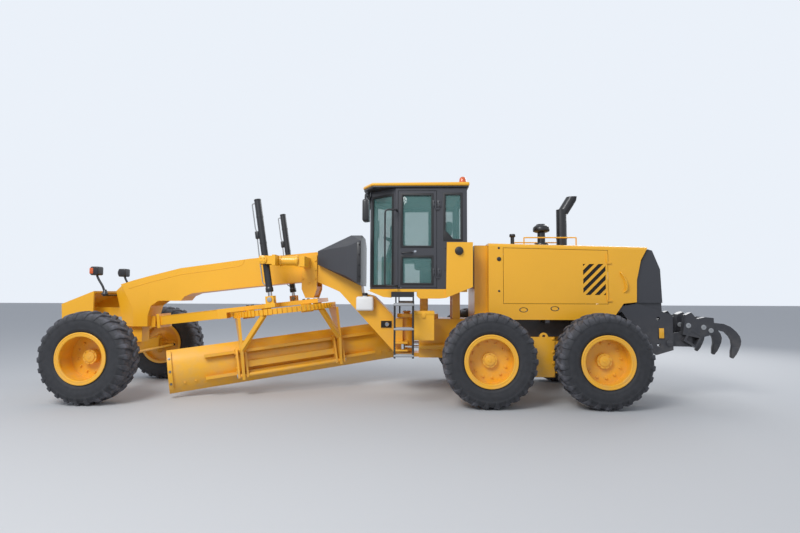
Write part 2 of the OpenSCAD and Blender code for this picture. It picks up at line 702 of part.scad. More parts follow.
module front_neck() color(yellow) from_hinge() difference() {
    union() {
        slab([[beam_x0, 1720], [1176, 1620], [1043, 1561], [192, 640], [60, 640], [60, 1150],
            [180, 1150], [235, 1225], [510, 1495], [690, 1545], [735, 1850], [900, 2120],
            [beam_x0, 2177]], -beam_half_w, beam_half_w);
        rod_z(0, 0, hinge_z0 + lug_t + move_gap, hinge_z1 - lug_t - move_gap, hub_r);
        box([0, -hub_r, hinge_z0 + lug_t + move_gap], [80, hub_r, hinge_z1 - lug_t - move_gap]);
        both() for (s = [-1, 1]) translate([0, 0, artic_z + s * (artic_lug_gap + 12)])
            box([-20, hub_r - 30, -12], [200, artic_y + 50, 12]);
    }
    rod_z(0, 0, 500, 1300, pin_r + run_gap);
}

module battery_cover() color(dark) from_hinge() difference() {
    hull() {
        box([1369, -300, 1977], [1370, 300, 2184]);
        box([890, -450, 1785], [891, 450, 2250]);
        box([690, -450, 1652], [691, 450, 2335]);
        box([690, -270, 2335], [860, 270, 2432]);
    }
    slab([[1600, 1500], [400, 1500], [689, 1545], [734, 1851], [899, 2121], [1414, 2178], [1600, 2178]],
        -beam_half_w - touch, beam_half_w + touch);
}

// Saddle over the beam that carries the two blade lift cylinders
trunnion_f = 2060;
trunnion_z = 2015;
module lift_saddle() color(yellow) from_hinge() both() {
    slab([[1394, 2130], [1630, 2130], [1630, 1600], [1570, 1462], [1440, 1462], [1394, 1600]],
        beam_half_w + touch, beam_half_w + 36);
    slab([[1400, 1640], [1620, 1640], [1565, 1500], [1445, 1500]], -1, beam_half_w + touch + 1);
    // arm out to the trunnion yoke
    box([1500, beam_half_w + 35, 1930], [1600, 640, 2080]);
    rod_x(1590, 1910, lift_y - 107, trunnion_z, 70);
    box([1880, lift_y - 135, trunnion_z - 75], [1930, lift_y + 135, trunnion_z + 75]);
    for (s = [-1, 1]) difference() {
        box([1920, lift_y + s * 120 - 15, trunnion_z - 60], [2110, lift_y + s * 120 + 15, trunnion_z + 60]);
        rod_y(trunnion_f, 0, 900, trunnion_z, 28 + run_gap);
    }
}

// Head lamps on posts, with a mast's foot plate across the leg
module front_lamps() color(black) from_hinge() translate([front_axle_f + 245, 0, 0]) both() {
    box([-16.5, -1, 1480], [40, 390, 1504]);
    bar([10, 370, 1500], [150, 370, 1820], 16);
    // head with its rounded back and lens ring
    box([90, 290, 1800], [220, 440, 1935]);
    rod_x(219, 232, 365, 1868, 62);
    rod_z(10, 370, 1503, 1530, 45);
}

// Front axle, steering knuckles and tie rod
king_y = 830;
king_r = 35;
arm_back = 250;
arm_in = 0;
tie_z = hub_z - 20;
module front_axle() color(yellow) from_hinge() translate([front_axle_f, 0, 0]) {
    // beam, narrower towards its yokes
    box([-90, -620, hub_z - 80], [90, 620, hub_z + 120]);
    box([-200, -110, hub_z + 119], [200, 110, 1005 - touch]);
    both() {
        box([-42, 619, hub_z - 80], [42, 701, hub_z + 120]);
        box([-42, 690, hub_z - 145], [42, 730, hub_z + 145]);
        for (z = [hub_z - 145, hub_z + 95]) difference() {
            union() {
                box([-42, 700, z], [42, king_y, z + 50]);
                rod_z(0, king_y, z, z + 50, 58);
            }
            rod_z(0, king_y, z - 1, z + 51, king_r + run_gap);
        }
    }
}

module knuckle(side) color(yellow) from_hinge() translate([front_axle_f, 0, 0])
    mirror([0, side < 0 ? 1 : 0, 0]) {
        rod_z(0, king_y, hub_z - 160, hub_z + 160, king_r);
        box([-58, king_y - 50, hub_z - 95 + move_gap], [58, king_y + 60, hub_z + 95 - move_gap]);
        rod_y(0, king_y + 59, tyre_y + disc_in_front + 40, hub_z, spindle_r);
        // steering arm and its ball pin
        box([-arm_back - 28, king_y - arm_in - 24, tie_z + 30], [-57, king_y - arm_in + 24, tie_z + 60]);
        rod_z(-arm_back, king_y - arm_in, tie_z - 25, tie_z + 31, 14);
    }

module tie_rod() color(yellow) from_hinge() translate([front_axle_f - arm_back, 0, 0]) {
    y = king_y - arm_in;
    difference() {
        union() {
            rod_y(0, -y + 20, y - 20, tie_z, 20);
            both() rod_z(0, y, tie_z - 22, tie_z + 22, 28);
        }
        both() rod_z(0, y, tie_z - 40, tie_z + 40, 14 + run_gap);
    }
}

// Articulation cylinders between the two frames
module artic_barrel(side) color(yellow) from_hinge() mirror([0, side < 0 ? 1 : 0, 0]) difference() {
    union() {
        rod_z(-artic_back, artic_y, artic_z - 40, artic_z + 40, 40);
        bar([-artic_back, artic_y, artic_z], [-190, artic_y, artic_z], 40);
    }
    rod_x(-560, -189, artic_y, artic_z, 22 + rod_gap);
    rod_z(-artic_back, artic_y, artic_z - 41, artic_z + 41, artic_pin_r + run_gap);
}
module artic_rod(side) color("silver") from_hinge() mirror([0, side < 0 ? 1 : 0, 0]) {
    rod_x(-400, 20, artic_y, artic_z, 22);
    rod_z(artic_eye_f, artic_y, artic_z - 38, artic_z + 38, 38);
}

// Drawbar frame: its front ball, and level directions along the pitched drawbar
ball_f = front_axle_f - 345;
ball_z = 1075;
ball_r = 60;
lift_eye_dx = 15;
lift_eye_dz = 130;
plate_z1 = 75;
circle_back = ball_f - 1930;
circle_z = -45;
blade_off = -65;
// run of a side beam, backward to the circle's front edge and sideways
side_run = [circle_back - 999.4744, 258.6937];
module on_drawbar() translate([hinge_x + ball_f, 0, ball_z]) rotate([0, drawbar_pitch, 0]) children();
module on_circle() on_drawbar() translate([-circle_back, 0, circle_z]) rotate([0, 0, -circle_angle])
    children();

module ball_cavity() intersection() {
    sphere(r = ball_r + 0.5);
    cube([200, 200, 2 * ball_r + 0.2], center = true);
}

module drawbar() color(yellow) on_drawbar() {
    // ball with flats at top and bottom, neck and front plate
    intersection() {
        sphere(r = ball_r);
        cube([200, 200, 2 * ball_r - 6], center = true);
    }
    bar([0, 0, 0], [-100, 0, 0], 32);
    box([-131, -60, -60], [-90, 60, 60]);
    box([-175, -190, -110], [-130, 190, 110]);
    both() {
        // side beams spread towards the circle
        translate([-169, 100, 0]) rotate([0, 0, 180 - atan2(side_run[1], side_run[0])])
            box([0, -60, -70], [norm(side_run), 60, 70]);
        box([-circle_back + 780, 290, -75], [-circle_back + 920, 450, plate_z1]);
        box([-circle_back - 560, 330, 10], [-circle_back + 790, 450, plate_z1]);
        // lift cylinder outriggers
        box([-circle_back - 60, 440, 15], [-circle_back + 90, lift_y + 76, plate_z1]);
        for (s = [-1, 1])
            box([-circle_back + lift_eye_dx - 60, lift_y + s * 56 - 10, plate_z1 - 1],
                [-circle_back + lift_eye_dx + 60, lift_y + s * 56 + 10, lift_eye_dz + 50]);
    }
    box([-circle_back - 620, -451, 10], [-circle_back - 500, 451, plate_z1]);
    box([-circle_back + 500, -451, 10], [-circle_back + 620, 451, plate_z1]);
    box([-circle_back - 150, -451, 15], [-circle_back + 150, 451, plate_z1]);
    // shoes that hold the circle by its inner lip
    for (a = [45:90:315]) translate([-circle_back, 0, circle_z]) rotate([0, 0, a]) {
        box([circle_in - 90, -70, -ring_down - 21], [circle_in - move_gap, 70, 64]);
        box([circle_in - 90, -70, -ring_down - 22], [circle_in + 30, 70, -ring_down - touch]);
    }
}

ring_down = 45;
ring_up = 40;
circle_in = circle_r - 120;
arm_y = 750;
module circle_ring() color(yellow) on_circle() {
    // toothed ring
    translate([0, 0, -ring_down]) linear_extrude(ring_down + ring_up) difference() {
        union() {
            circle(r = circle_r, $fn = 96);
            for (a = [0:5:355]) rotate([0, 0, a]) translate([circle_r - 2, -14]) square([22, 28]);
        }
        circle(r = circle_in, $fn = 96);
    }
    // arms down to the blade with their braces
    both() {
        difference() {
            slab([[-350, -ring_down + 1], [100, -ring_down + 1], [-110, -300], [-228, -520], [-168, -860],
                [-165, -960], [-275, -960], [-345, -520]], arm_y - 20, arm_y + 20);
            rod_y(tip_x, arm_y - 21, arm_y + 21, tip_z, tip_r + run_gap);
        }
        strut([-300, arm_y, -520], [-0.783 * circle_r, 0.546 * circle_r, -ring_down + 4], 60, 70);
    }
}

// A square strut between two points
module strut(a, b, w, h) {
    d = b - a;
    len = norm(d);
    translate(a) rotate([0, acos(d[2] / len), atan2(d[1], d[0])]) translate([-w / 2, -h / 2, 0])
        cube([w, h, len]);
}

// Carrier that tips on the arms and guides the sliding blade on its two rails
tip_x = -215;
tip_z = -900;
tip_r = 30;
rail_up_z = -545;
rail_low_z = -868;
slide_gap = 0.5;
module blade_carrier() color(yellow) on_circle() {
    both() for (y = [arm_y - 62, arm_y + 62]) difference() {
        union() {
            slab([[-255, -930], [-190, -935], [-90, -905], [-90, -830], [-150, -800], [-150, -590],
                [-90, -590], [-90, -500], [-170, -500], [-215, -560], [-255, -850]], y - 15, y + 15);
        }
        rail_space(y, rail_up_z, slide_gap);
        rail_space(y, rail_low_z, slide_gap);
    }
    rod_y(tip_x, -arm_y - 78, arm_y + 78, tip_z, tip_r);
    // plate that joins both ends
    box([-185, -arm_y + 60, -790], [-160, arm_y - 60, -700]);
}

module rail_space(y, z, gap) box([-125 - gap, y - 20, z - 22 - gap], [-85, y + 20, z + 22 + gap]);

// A length of the moldboard's curve: its radii, lowest and highest edge, and place along the blade
module blade_curve(r0, r1, z0, z1, y0, y1) translate([blade_r - 60, y1, blade_mid]) rotate([90, 0, 0])
    linear_extrude(y1 - y0) intersection() {
        difference() {
            circle(r = r1, $fn = 96);
            circle(r = r0, $fn = 96);
        }
        translate([-1.2 * blade_r, z0 - blade_mid]) square([1.1 * blade_r, z1 - z0]);
    }
blade_low = -1030;
blade_mid = blade_low + blade_h / 2;

module blade() color(yellow) on_circle() translate([0, blade_off, 0]) {
    half = blade_len / 2;
    blade_curve(blade_r - blade_t, blade_r, blade_low, blade_low + blade_h, -half, half);
    // cutting edge on the front and ribs behind both ends
    blade_curve(blade_r - blade_t - 18, blade_r - 5, blade_low + 0.5, blade_low + 170, -half + 2, half - 2);
    for (y = [-half + 1, half - 61])
        blade_curve(blade_r - 5, blade_r + 32, blade_low + 60, blade_low + blade_h - 20, y, y + 60);
    // slide rails with their webs
    for (z = [rail_up_z, rail_low_z]) {
        box([-125, -1330, z - 22], [-102, 1330, z + 22]);
        box([-103, -1330, z - 8], [-15, 1330, z + 8]);
    }
}

// Lift cylinders: the barrel hangs on its trunnion, the rod's eye sits between the drawbar's ears
function on_d(p) = [hinge_x + ball_f + p[0] * cos(drawbar_pitch) + p[2] * sin(drawbar_pitch), p[1],
    ball_z - p[0] * sin(drawbar_pitch) + p[2] * cos(drawbar_pitch)];
lift_eye = on_d([-circle_back + lift_eye_dx, lift_y, lift_eye_dz]);
lift_hub = [hinge_x + trunnion_f, lift_y, trunnion_z];
lift_dir = (lift_hub - lift_eye) / norm(lift_hub - lift_eye);

module lift_barrel(side) color(black) mirror([0, side < 0 ? 1 : 0, 0]) difference() {
    union() {
        bar(lift_hub - 470 * lift_dir, lift_hub + 900 * lift_dir, lift_r);
        bar(lift_hub - 55 * lift_dir, lift_hub + 55 * lift_dir, lift_r + 24);
        rod_y(lift_hub[0], lift_y - 140, lift_y + 140, trunnion_z, 28);
    }
    bar(lift_hub - 471 * lift_dir, lift_hub + 880 * lift_dir, 30 + rod_gap);
}
module lift_rod(side) color("silver") mirror([0, side < 0 ? 1 : 0, 0]) {
    bar(lift_eye + 20 * lift_dir, lift_hub + 350 * lift_dir, 30);
    rod_y(lift_eye[0], lift_y - 38, lift_y + 38, lift_eye[2], 42);
}

hinge_frame();
rear_frame();
tandem_axle();
hood();
rear_grille();
engine_block();
cab_base();
cab_shell();
cab_roof();
cab_glass();
cab_fittings();
cab_interior();
ladders();
tool_box();
engine_stacks();
ripper_bracket();
ripper_arm();
ripper_barrel();
ripper_rod();
front_beam();
front_leg();
ball_socket();
front_nose();
front_neck();
battery_cover();
lift_saddle();
front_lamps();
front_axle();
knuckle(1);  // knuckle_left
knuckle(-1);  // knuckle_right
tie_rod();
artic_barrel(1);  // artic_barrel_left
artic_barrel(-1);  // artic_barrel_right
artic_rod(1);  // artic_rod_left
artic_rod(-1);  // artic_rod_right
cab_door(1);  // cab_door_left
cab_door(-1);  // cab_door_right
hood_door(1);  // hood_door_left
hood_door(-1);  // hood_door_right
drawbar();
circle_ring();
blade_carrier();
blade();
lift_barrel(1);  // lift_barrel_left
lift_barrel(-1);  // lift_barrel_right
lift_rod(1);  // lift_rod_left
lift_rod(-1);  // lift_rod_right
tyre(axle_x, 1);  // tyre_front_left
tyre(axle_x, -1);  // tyre_front_right
tyre(mid_x, 1);  // tyre_mid_left
tyre(mid_x, -1);  // tyre_mid_right
tyre(rear_x, 1);  // tyre_rear_left
tyre(rear_x, -1);  // tyre_rear_right
rim(axle_x, 1, disc_in_front, 90);  // rim_front_left
rim(axle_x, -1, disc_in_front, 90);  // rim_front_right
rim(mid_x, 1, disc_in_rear, 50);  // rim_mid_left
rim(mid_x, -1, disc_in_rear, 50);  // rim_mid_right
rim(rear_x, 1, disc_in_rear, 50);  // rim_rear_left
rim(rear_x, -1, disc_in_rear, 50);  // rim_rear_right
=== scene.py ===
"""A motor grader: six wheels, a frame that articulates, a blade under a drawbar and circle, a rear ripper."""
import math

import bmesh
import bpy
from mathutils import Matrix, Vector


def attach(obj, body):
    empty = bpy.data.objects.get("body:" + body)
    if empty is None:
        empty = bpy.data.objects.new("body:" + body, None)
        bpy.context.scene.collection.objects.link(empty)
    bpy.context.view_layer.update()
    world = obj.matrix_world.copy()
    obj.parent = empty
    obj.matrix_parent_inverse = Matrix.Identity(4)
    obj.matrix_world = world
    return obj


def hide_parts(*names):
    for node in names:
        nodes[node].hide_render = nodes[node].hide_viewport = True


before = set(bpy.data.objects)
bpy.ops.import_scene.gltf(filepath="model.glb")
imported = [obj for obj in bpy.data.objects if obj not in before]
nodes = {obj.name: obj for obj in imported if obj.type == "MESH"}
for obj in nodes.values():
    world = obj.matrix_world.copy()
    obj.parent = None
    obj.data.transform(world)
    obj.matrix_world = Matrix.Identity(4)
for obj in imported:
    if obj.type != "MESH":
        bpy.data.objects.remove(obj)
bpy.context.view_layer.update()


# The camera stands at head height on the machine's left, beside the cab, where the photograph was taken. The
# floor and the backdrop are pale. Two soft lamps light the machine, the stronger from the upper left front.
def wired(made, inputs):
    """Gives a shader node its inputs, each a value or the socket that feeds it."""
    for key, value in inputs.items():
        if isinstance(value, bpy.types.NodeSocket):
            made.id_data.links.new(value, made.inputs[key])
        else:
            made.inputs[key].default_value = value


def node(tree, kind, inputs=None, output=None, **settings):
    """The named output, or else the first one in use, of a new shader node of a kind."""
    made = tree.nodes.new("ShaderNode" + kind)
    for key, value in settings.items():
        setattr(made, key, value)
    wired(made, inputs or {})
    return made.outputs[output] if output else next(socket for socket in made.outputs if socket.enabled)


def new_material(name):
    """A material, its node tree and its shader."""
    mat = bpy.data.materials.new(name)
    mat.use_nodes = True
    return mat, mat.node_tree, mat.node_tree.nodes["Principled BSDF"]


bpy.ops.object.select_all(action="DESELECT")
bpy.ops.object.camera_add(location=(-0.3397, 7.9518, 1.5428),
                          rotation=[math.radians(a) for a in (93.0375, -0.1935, -178.305)])
camera = bpy.context.object
camera.data.sensor_width = 36
camera.data.lens = 22.48
camera.data.clip_end = 200
scene = bpy.context.scene
scene.camera = camera
scene.view_settings.view_transform = "Standard"

bpy.ops.mesh.primitive_plane_add(size=120, location=(0, 0, -0.002))
floor = bpy.context.object
floor.name = "floor"
floor_paint, tree, shader = new_material("pale_floor")
wired(shader, {"Base Color": (0.5, 0.505, 0.51, 1), "Roughness": 0.85})
floor.data.materials.append(floor_paint)

scene.world = bpy.data.worlds.new("studio")
scene.world.use_nodes = True
tree = scene.world.node_tree
# the camera sees a backdrop, also through glass and in reflections, while a bluer sky lights the machine
sky = tree.nodes["Background"]
wired(sky, {"Color": (0.8, 0.87, 1.0, 1), "Strength": 0.62})
backdrop = node(tree, "Background", {"Color": (0.83, 0.88, 0.95, 1)})
ray = node(tree, "LightPath").node.outputs
seen = node(tree, "Math", {0: ray["Is Camera Ray"], 1: ray["Is Transmission Ray"]}, operation="MAXIMUM")
seen = node(tree, "Math", {0: seen, 1: ray["Is Glossy Ray"]}, operation="MAXIMUM")
blend = node(tree, "MixShader", {0: seen, 1: sky.outputs[0], 2: backdrop})
wired(tree.nodes["World Output"], {"Surface": blend})

for name, place, aim, size, power in (
        ("key", (4.5, 9.0, 9.5), (0.2, 0, 1.0), 5.0, 1150),
        ("rear_fill", (-7.0, -6.0, 6.5), (0, 0, 1.2), 6.0, 420)):
    bpy.ops.object.light_add(type="AREA", location=place)
    lamp = bpy.context.object
    lamp.name = name
    lamp.data.size = size
    lamp.data.energy = power
    lamp.rotation_euler = (Vector(aim) - Vector(place)).to_track_quat("-Z", "Y").to_euler()


# The chassis rails, ripper and cab frame are welded plate sprayed dark grey; axles, frames and
# panels are the same plate sprayed yellow. Both carry road dust, soft edges and a faint orange peel.
DUST = (0.36, 0.32, 0.27, 1)
SIDES = (("left", 1), ("right", -1))
AXLE_X = 4.1825
WHEELS = [("%s_%s" % (place, side), x, sign) for place, x in (
    ("front", AXLE_X), ("mid", -1.3525), ("rear", -2.8825)) for side, sign in SIDES]


def noise(tree, place, scale, detail=2, rough=0.5):
    """A noise on object coordinates."""
    return node(tree, "TexNoise", {"Scale": scale, "Detail": detail, "Roughness": rough, "Vector": place})


def drifting(tree, colour, fade, *grain):
    """Object coordinates, a noise on them, and a colour that drifts between two shades with the noise."""
    place = node(tree, "TexCoord", output="Object")
    cloud = noise(tree, place, *grain)
    dark, light = ([min(1, c * share) for c in colour] + [1] for share in (1 - fade, 1 + fade))
    return place, cloud, node(tree, "Mix", {"A": dark, "B": light, "Factor": cloud}, data_type="RGBA")


def sprayed_steel(name, colour, rough=0.34, fade=0.05):
    """Dusty paint on plate, in its colour and roughness, with fade for how far its shade drifts."""
    mat, tree, shader = new_material(name)
    place, _, tone = drifting(tree, colour, fade, 1.7, 6, 0.6)
    # dust gathers low on the machine and on faces that look up, in patches
    height = node(tree, "SeparateXYZ", {0: place}, "Z")
    low = node(tree, "MapRange", {"From Min": 1.25, "From Max": 0.15, "Value": height})
    upward = node(tree, "SeparateXYZ", {0: node(tree, "NewGeometry", output="Normal")}, "Z")
    flat = node(tree, "MapRange", {"From Min": 0.5, "From Max": 1.0, "To Max": 0.55, "Value": upward})
    both = node(tree, "Math", {0: low, 1: flat}, operation="MAXIMUM")
    patch = node(tree, "MapRange", {"From Min": 0.35, "From Max": 0.75, "To Max": 0.3,
                                    "Value": noise(tree, place, 9, 9)})
    amount = node(tree, "Math", {0: both, 1: patch}, operation="MULTIPLY")
    # it dulls the gloss; the sprayed surface is a little uneven, and plate edges are rounded by the paint
    wired(shader, {
        "Base Color": node(tree, "Mix", {"A": tone, "B": DUST, "Factor": amount}, data_type="RGBA"),
        "Roughness": node(tree, "MapRange", {"To Min": rough, "To Max": min(1, rough + 0.5),
                                             "Value": amount}),
        "Normal": node(tree, "Bump", {"Strength": 0.05, "Distance": 0.004, "Height": noise(tree, place, 55),
                                      "Normal": node(tree, "Bevel", {"Radius": 0.004}, samples=4)}),
        "Coat Weight": 0.25, "Coat Roughness": 0.15})
    return mat


def finish_nodes(names, mat):
    """Gives the solids named in a string one finish."""
    for name in names.split():
        mesh = nodes[name].data
        mesh.materials.clear()
        mesh.materials.append(mat)


yellow = sprayed_steel("grader_yellow", (0.87, 0.43, 0.018))
dark_grey = sprayed_steel("frame_grey", (0.034, 0.035, 0.042), rough=0.42, fade=0.12)
gloss_black = sprayed_steel("satin_black", (0.012, 0.012, 0.014), rough=0.38, fade=0.2)
YELLOW, DARK, BLACK = ("yellow_paint", yellow), ("dark_paint", dark_grey), ("black_paint", gloss_black)
finish_nodes("rear_frame rear_grille engine_block ripper_bracket ripper_arm ripper_barrel cab_shell "
             "battery_cover cab_door_left cab_door_right", dark_grey)
finish_nodes("hinge_frame tandem_axle hood cab_base cab_roof front_beam front_leg ball_socket front_nose "
             "front_neck lift_saddle front_axle knuckle_left knuckle_right tie_rod artic_barrel_left "
             "artic_barrel_right hood_door_left hood_door_right drawbar circle_ring blade_carrier blade "
             "tool_box", yellow)
finish_nodes(" ".join("rim_" + wheel for wheel, x, sign in WHEELS), yellow)
finish_nodes("engine_stacks front_lamps lift_barrel_left lift_barrel_right ladders cab_interior", gloss_black)


# The six tyres are cross-ply rubber with deep traction lugs that wrap over the shoulder, one row on each
# side, half a pitch apart. The carcass is turned from its section; one lug is bent to it and repeated.
ACROSS, UP = (0, 1, 0), (0, 0, 1)
NEAR_AXIS = 0.0004
HUB_Z, TYRE_R, TYRE_Y = 0.64, 0.64, 1.077


def select(*pieces):
    """Selects these pieces alone and makes the first one active."""
    bpy.ops.object.select_all(action="DESELECT")
    for piece in reversed(pieces):
        piece.select_set(True)
        bpy.context.view_layer.objects.active = piece


def added(kind, name, **values):
    """A new mesh of a primitive kind, alone and active."""
    select()
    getattr(bpy.ops.mesh, "primitive_%s_add" % kind)(**values)
    bpy.context.object.name = name
    return bpy.context.object


def edit():
    """Enters edit mode with everything selected."""
    bpy.ops.object.mode_set(mode="EDIT")
    bpy.ops.mesh.select_all(action="SELECT")


def turn_out(merge=0.0):
    """In edit mode, merges points that lie together, turns all faces outwards, and leaves."""
    bpy.ops.mesh.select_all(action="SELECT")
    if merge:
        bpy.ops.mesh.remove_doubles(threshold=merge)
    bpy.ops.mesh.normals_make_consistent(inside=False)
    bpy.ops.object.mode_set(mode="OBJECT")


def smooth(piece, degrees):
    """Shades a piece smooth except at edges sharper than this."""
    select(piece)
    bpy.ops.object.shade_smooth_by_angle(angle=math.radians(degrees))
    return piece


def turned(name, section, centre, axis, steps=32, sharp=40):
    """A closed section of (radius, place along the axis), spun round an axis through centre."""
    piece = added("circle", name, vertices=len(section), radius=1)
    away = Vector(UP) if abs(axis[2]) < 0.9 else Vector((1, 0, 0))
    centre, axis = Vector(centre), Vector(axis)
    for vert, (r, along) in zip(piece.data.vertices, section):
        vert.co = centre + away * max(r, NEAR_AXIS) + axis * along
    edit()
    bpy.ops.mesh.spin(steps=steps, angle=math.tau, center=centre, axis=axis)
    turn_out(0.00002)
    return smooth(piece, sharp) if sharp else piece


def joined(parts, name):
    """Several pieces made into one."""
    select(*parts)
    if len(parts) > 1:
        bpy.ops.object.join()
    parts[0].name = name
    return parts[0]


def settled(piece, body, slot, mat, instead=None):
    """Sits the finished piece at the origin, gives it its finish, and hangs it on its body."""
    select(piece)
    bpy.ops.object.transform_apply(location=True, rotation=True, scale=True)
    piece.data.materials.clear()
    piece.data.materials.append(mat)
    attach(piece, body)
    if instead:
        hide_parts(instead)
    return piece


def copied(piece, name, matrix):
    """A copy with its own mesh, moved by a matrix. A mirror is turned the right way out again."""
    twin = piece.copy()
    twin.data = piece.data.copy()
    twin.name = name
    scene.collection.objects.link(twin)
    twin.data.transform(matrix)
    if matrix.determinant() < 0:
        twin.data.flip_normals()
    return twin


def applied(piece, kind, **values):
    """Adds one modifier with its values and applies it."""
    step = piece.modifiers.new(kind.lower(), kind)
    for key, value in values.items():
        setattr(step, key, value)
    bpy.context.view_layer.objects.active = piece
    bpy.ops.object.modifier_apply(modifier=step.name)


rubber, tree, shader = new_material("tyre_rubber")
place = node(tree, "TexCoord", output="Object")
dusted = node(tree, "MapRange", {"From Min": 0.3, "From Max": 0.72, "To Min": 0.12,
                                 "Value": noise(tree, place, 14, 8)})
worn = node(tree, "Attribute", output="Fac", attribute_name="tread")
share = node(tree, "Math", {0: dusted, 1: worn}, operation="MULTIPLY")
wired(shader, {
    "Base Color": node(tree, "Mix", {"A": (0.017, 0.018, 0.021, 1), "B": (0.135, 0.135, 0.155, 1),
                                     "Factor": share}, data_type="RGBA"),
    "Normal": node(tree, "Bump", {"Strength": 0.22, "Distance": 0.002, "Height": noise(tree, place, 160, 4)}),
    "Roughness": 0.72})

TREAD = 0.028
half_tyre = [(0.33, 0.16), (0.338, 0.172), (0.352, 0.186), (0.366, 0.1895), (0.372, 0.196), (0.392, 0.2035),
             (0.398, 0.2065), (0.41, 0.209), (0.416, 0.2085), (0.44, 0.215), (0.47, 0.218), (0.5, 0.2175),
             (0.524, 0.214), (0.53, 0.216), (0.54, 0.214), (0.566, 0.201), (0.59, 0.182), (0.604, 0.16),
             (TYRE_R - TREAD, 0.12), (TYRE_R - TREAD + 0.002, 0.06)]
carcass = turned("tyre_carcass", half_tyre + [(TYRE_R - TREAD + 0.003, 0)]
                 + [(r, -y) for r, y in reversed(half_tyre)], (0, 0, 0), ACROSS, 104)
# the lug's path over the tread: (place across, outer radius, radius at its foot, slant, half width)
LUG_PATH = ((-0.004, TYRE_R, 0.606, 0.0, 0.024), (0.04, TYRE_R, 0.606, 0.04, 0.028),
            (0.09, TYRE_R - 0.001, 0.603, 0.082, 0.033), (0.136, TYRE_R - 0.006, 0.596, 0.112, 0.038),
            (0.17, TYRE_R - 0.018, 0.586, 0.124, 0.04), (0.2, TYRE_R - 0.048, 0.57, 0.13, 0.037),
            (0.2155, TYRE_R - 0.085, 0.548, 0.133, 0.03), (0.219, TYRE_R - 0.118, 0.52, 0.134, 0.023))
SHOULDER = 5
lug = added("cube", "lug", size=1)
bpy.ops.object.mode_set(mode="EDIT")
mesh = bmesh.from_edit_mesh(lug.data)
for edge in mesh.edges:
    edge.select = abs(edge.verts[0].co.y - edge.verts[1].co.y) > 0.5
bpy.ops.mesh.subdivide(number_cuts=len(LUG_PATH) - 2)
bpy.ops.object.mode_set(mode="OBJECT")
for vert in lug.data.vertices:
    step = round((vert.co.y + 0.5) * (len(LUG_PATH) - 1))
    across, high, foot, slant, half = LUG_PATH[step]
    top = vert.co.z > 0
    side = 1 if vert.co.x > 0 else -1
    if step >= SHOULDER and not top:
        across -= 0.022
    reach = high if top else foot
    turn = slant + side * half * (0.8 if top else 1.12) / TYRE_R
    vert.co = (reach * math.sin(turn), across, reach * math.cos(turn))
applied(lug, "BEVEL", width=0.005, segments=2, angle_limit=math.radians(35))
LUGS = 26
rows = []
for k in range(LUGS):
    turn = math.tau * k / LUGS
    rows.append(copied(lug, "lug", Matrix.Rotation(turn, 4, "Y")))
    across = Matrix.Rotation(turn + math.pi / LUGS, 4, "Y") @ Matrix.Scale(-1, 4, ACROSS)
    rows.append(copied(lug, "lug", across))
bpy.data.objects.remove(lug)
master = joined([carcass] + rows, "tyre_master")
# dust rubs into the tread, and less into the wall
tread = master.data.attributes.new("tread", "FLOAT", "POINT")
reach = [math.hypot(v.co.x, v.co.z) for v in master.data.vertices]
tread.data.foreach_set("value", [0.1 + 0.9 * max(0.0, min(1.0, (r - 0.56) / 0.06)) for r in reach])
smooth(master, 40)
for wheel, x, sign in WHEELS:
    where = Matrix.Translation((x, sign * TYRE_Y, HUB_Z)) @ Matrix.Rotation(0.4 * x + 0.3 * sign, 4, "Y")
    tyre = copied(master, "tyre_lugged_" + wheel, where @ Matrix.Scale(sign, 4, ACROSS))
    settled(tyre, "wheel_" + wheel, "tyre_rubber", rubber, "tyre_" + wheel)
bpy.data.objects.remove(master)


# Each wheel is a welded steel rim with a loose side ring that locks the tyre's bead, and a disc bolted to
# the hub by twelve nuts. A flat cover is bolted over each hub.
def ring_spots(centre, axis, radius, count, start=0.0):
    """Places in a ring round an axis."""
    turn = Vector(axis).to_track_quat("Z", "Y")
    angles = [start + math.tau * k / count for k in range(count)]
    return [Vector(centre) + turn @ Vector((radius * math.cos(a), radius * math.sin(a), 0)) for a in angles]


def hex_heads(name, spots, axis, size, tall):
    """Hexagon heads on washers, one on each spot and facing along the axis, as one piece."""
    head = added("cylinder", name, vertices=6, radius=size, depth=tall)
    bpy.ops.object.mode_set(mode="EDIT")
    bpy.ops.mesh.select_all(action="DESELECT")
    mesh = bmesh.from_edit_mesh(head.data)
    for face in mesh.faces:
        face.select = face.normal.z > 0.9
    bpy.ops.mesh.bevel(offset=size * 0.14, segments=1)
    bpy.ops.object.mode_set(mode="OBJECT")
    washer = added("cylinder", "washer", vertices=20, radius=size * 1.35, depth=size * 0.3)
    washer.data.transform(Matrix.Translation((0, 0, size * 0.1 - tall / 2)))
    pair = joined([head, washer], name)
    turn = Vector(axis).to_track_quat("Z", "Y").to_matrix().to_4x4() @ Matrix.Translation((0, 0, tall / 2))
    heads = [copied(pair, name, Matrix.Translation(spot) @ turn) for spot in spots]
    bpy.data.objects.remove(pair)
    return joined(heads, name)


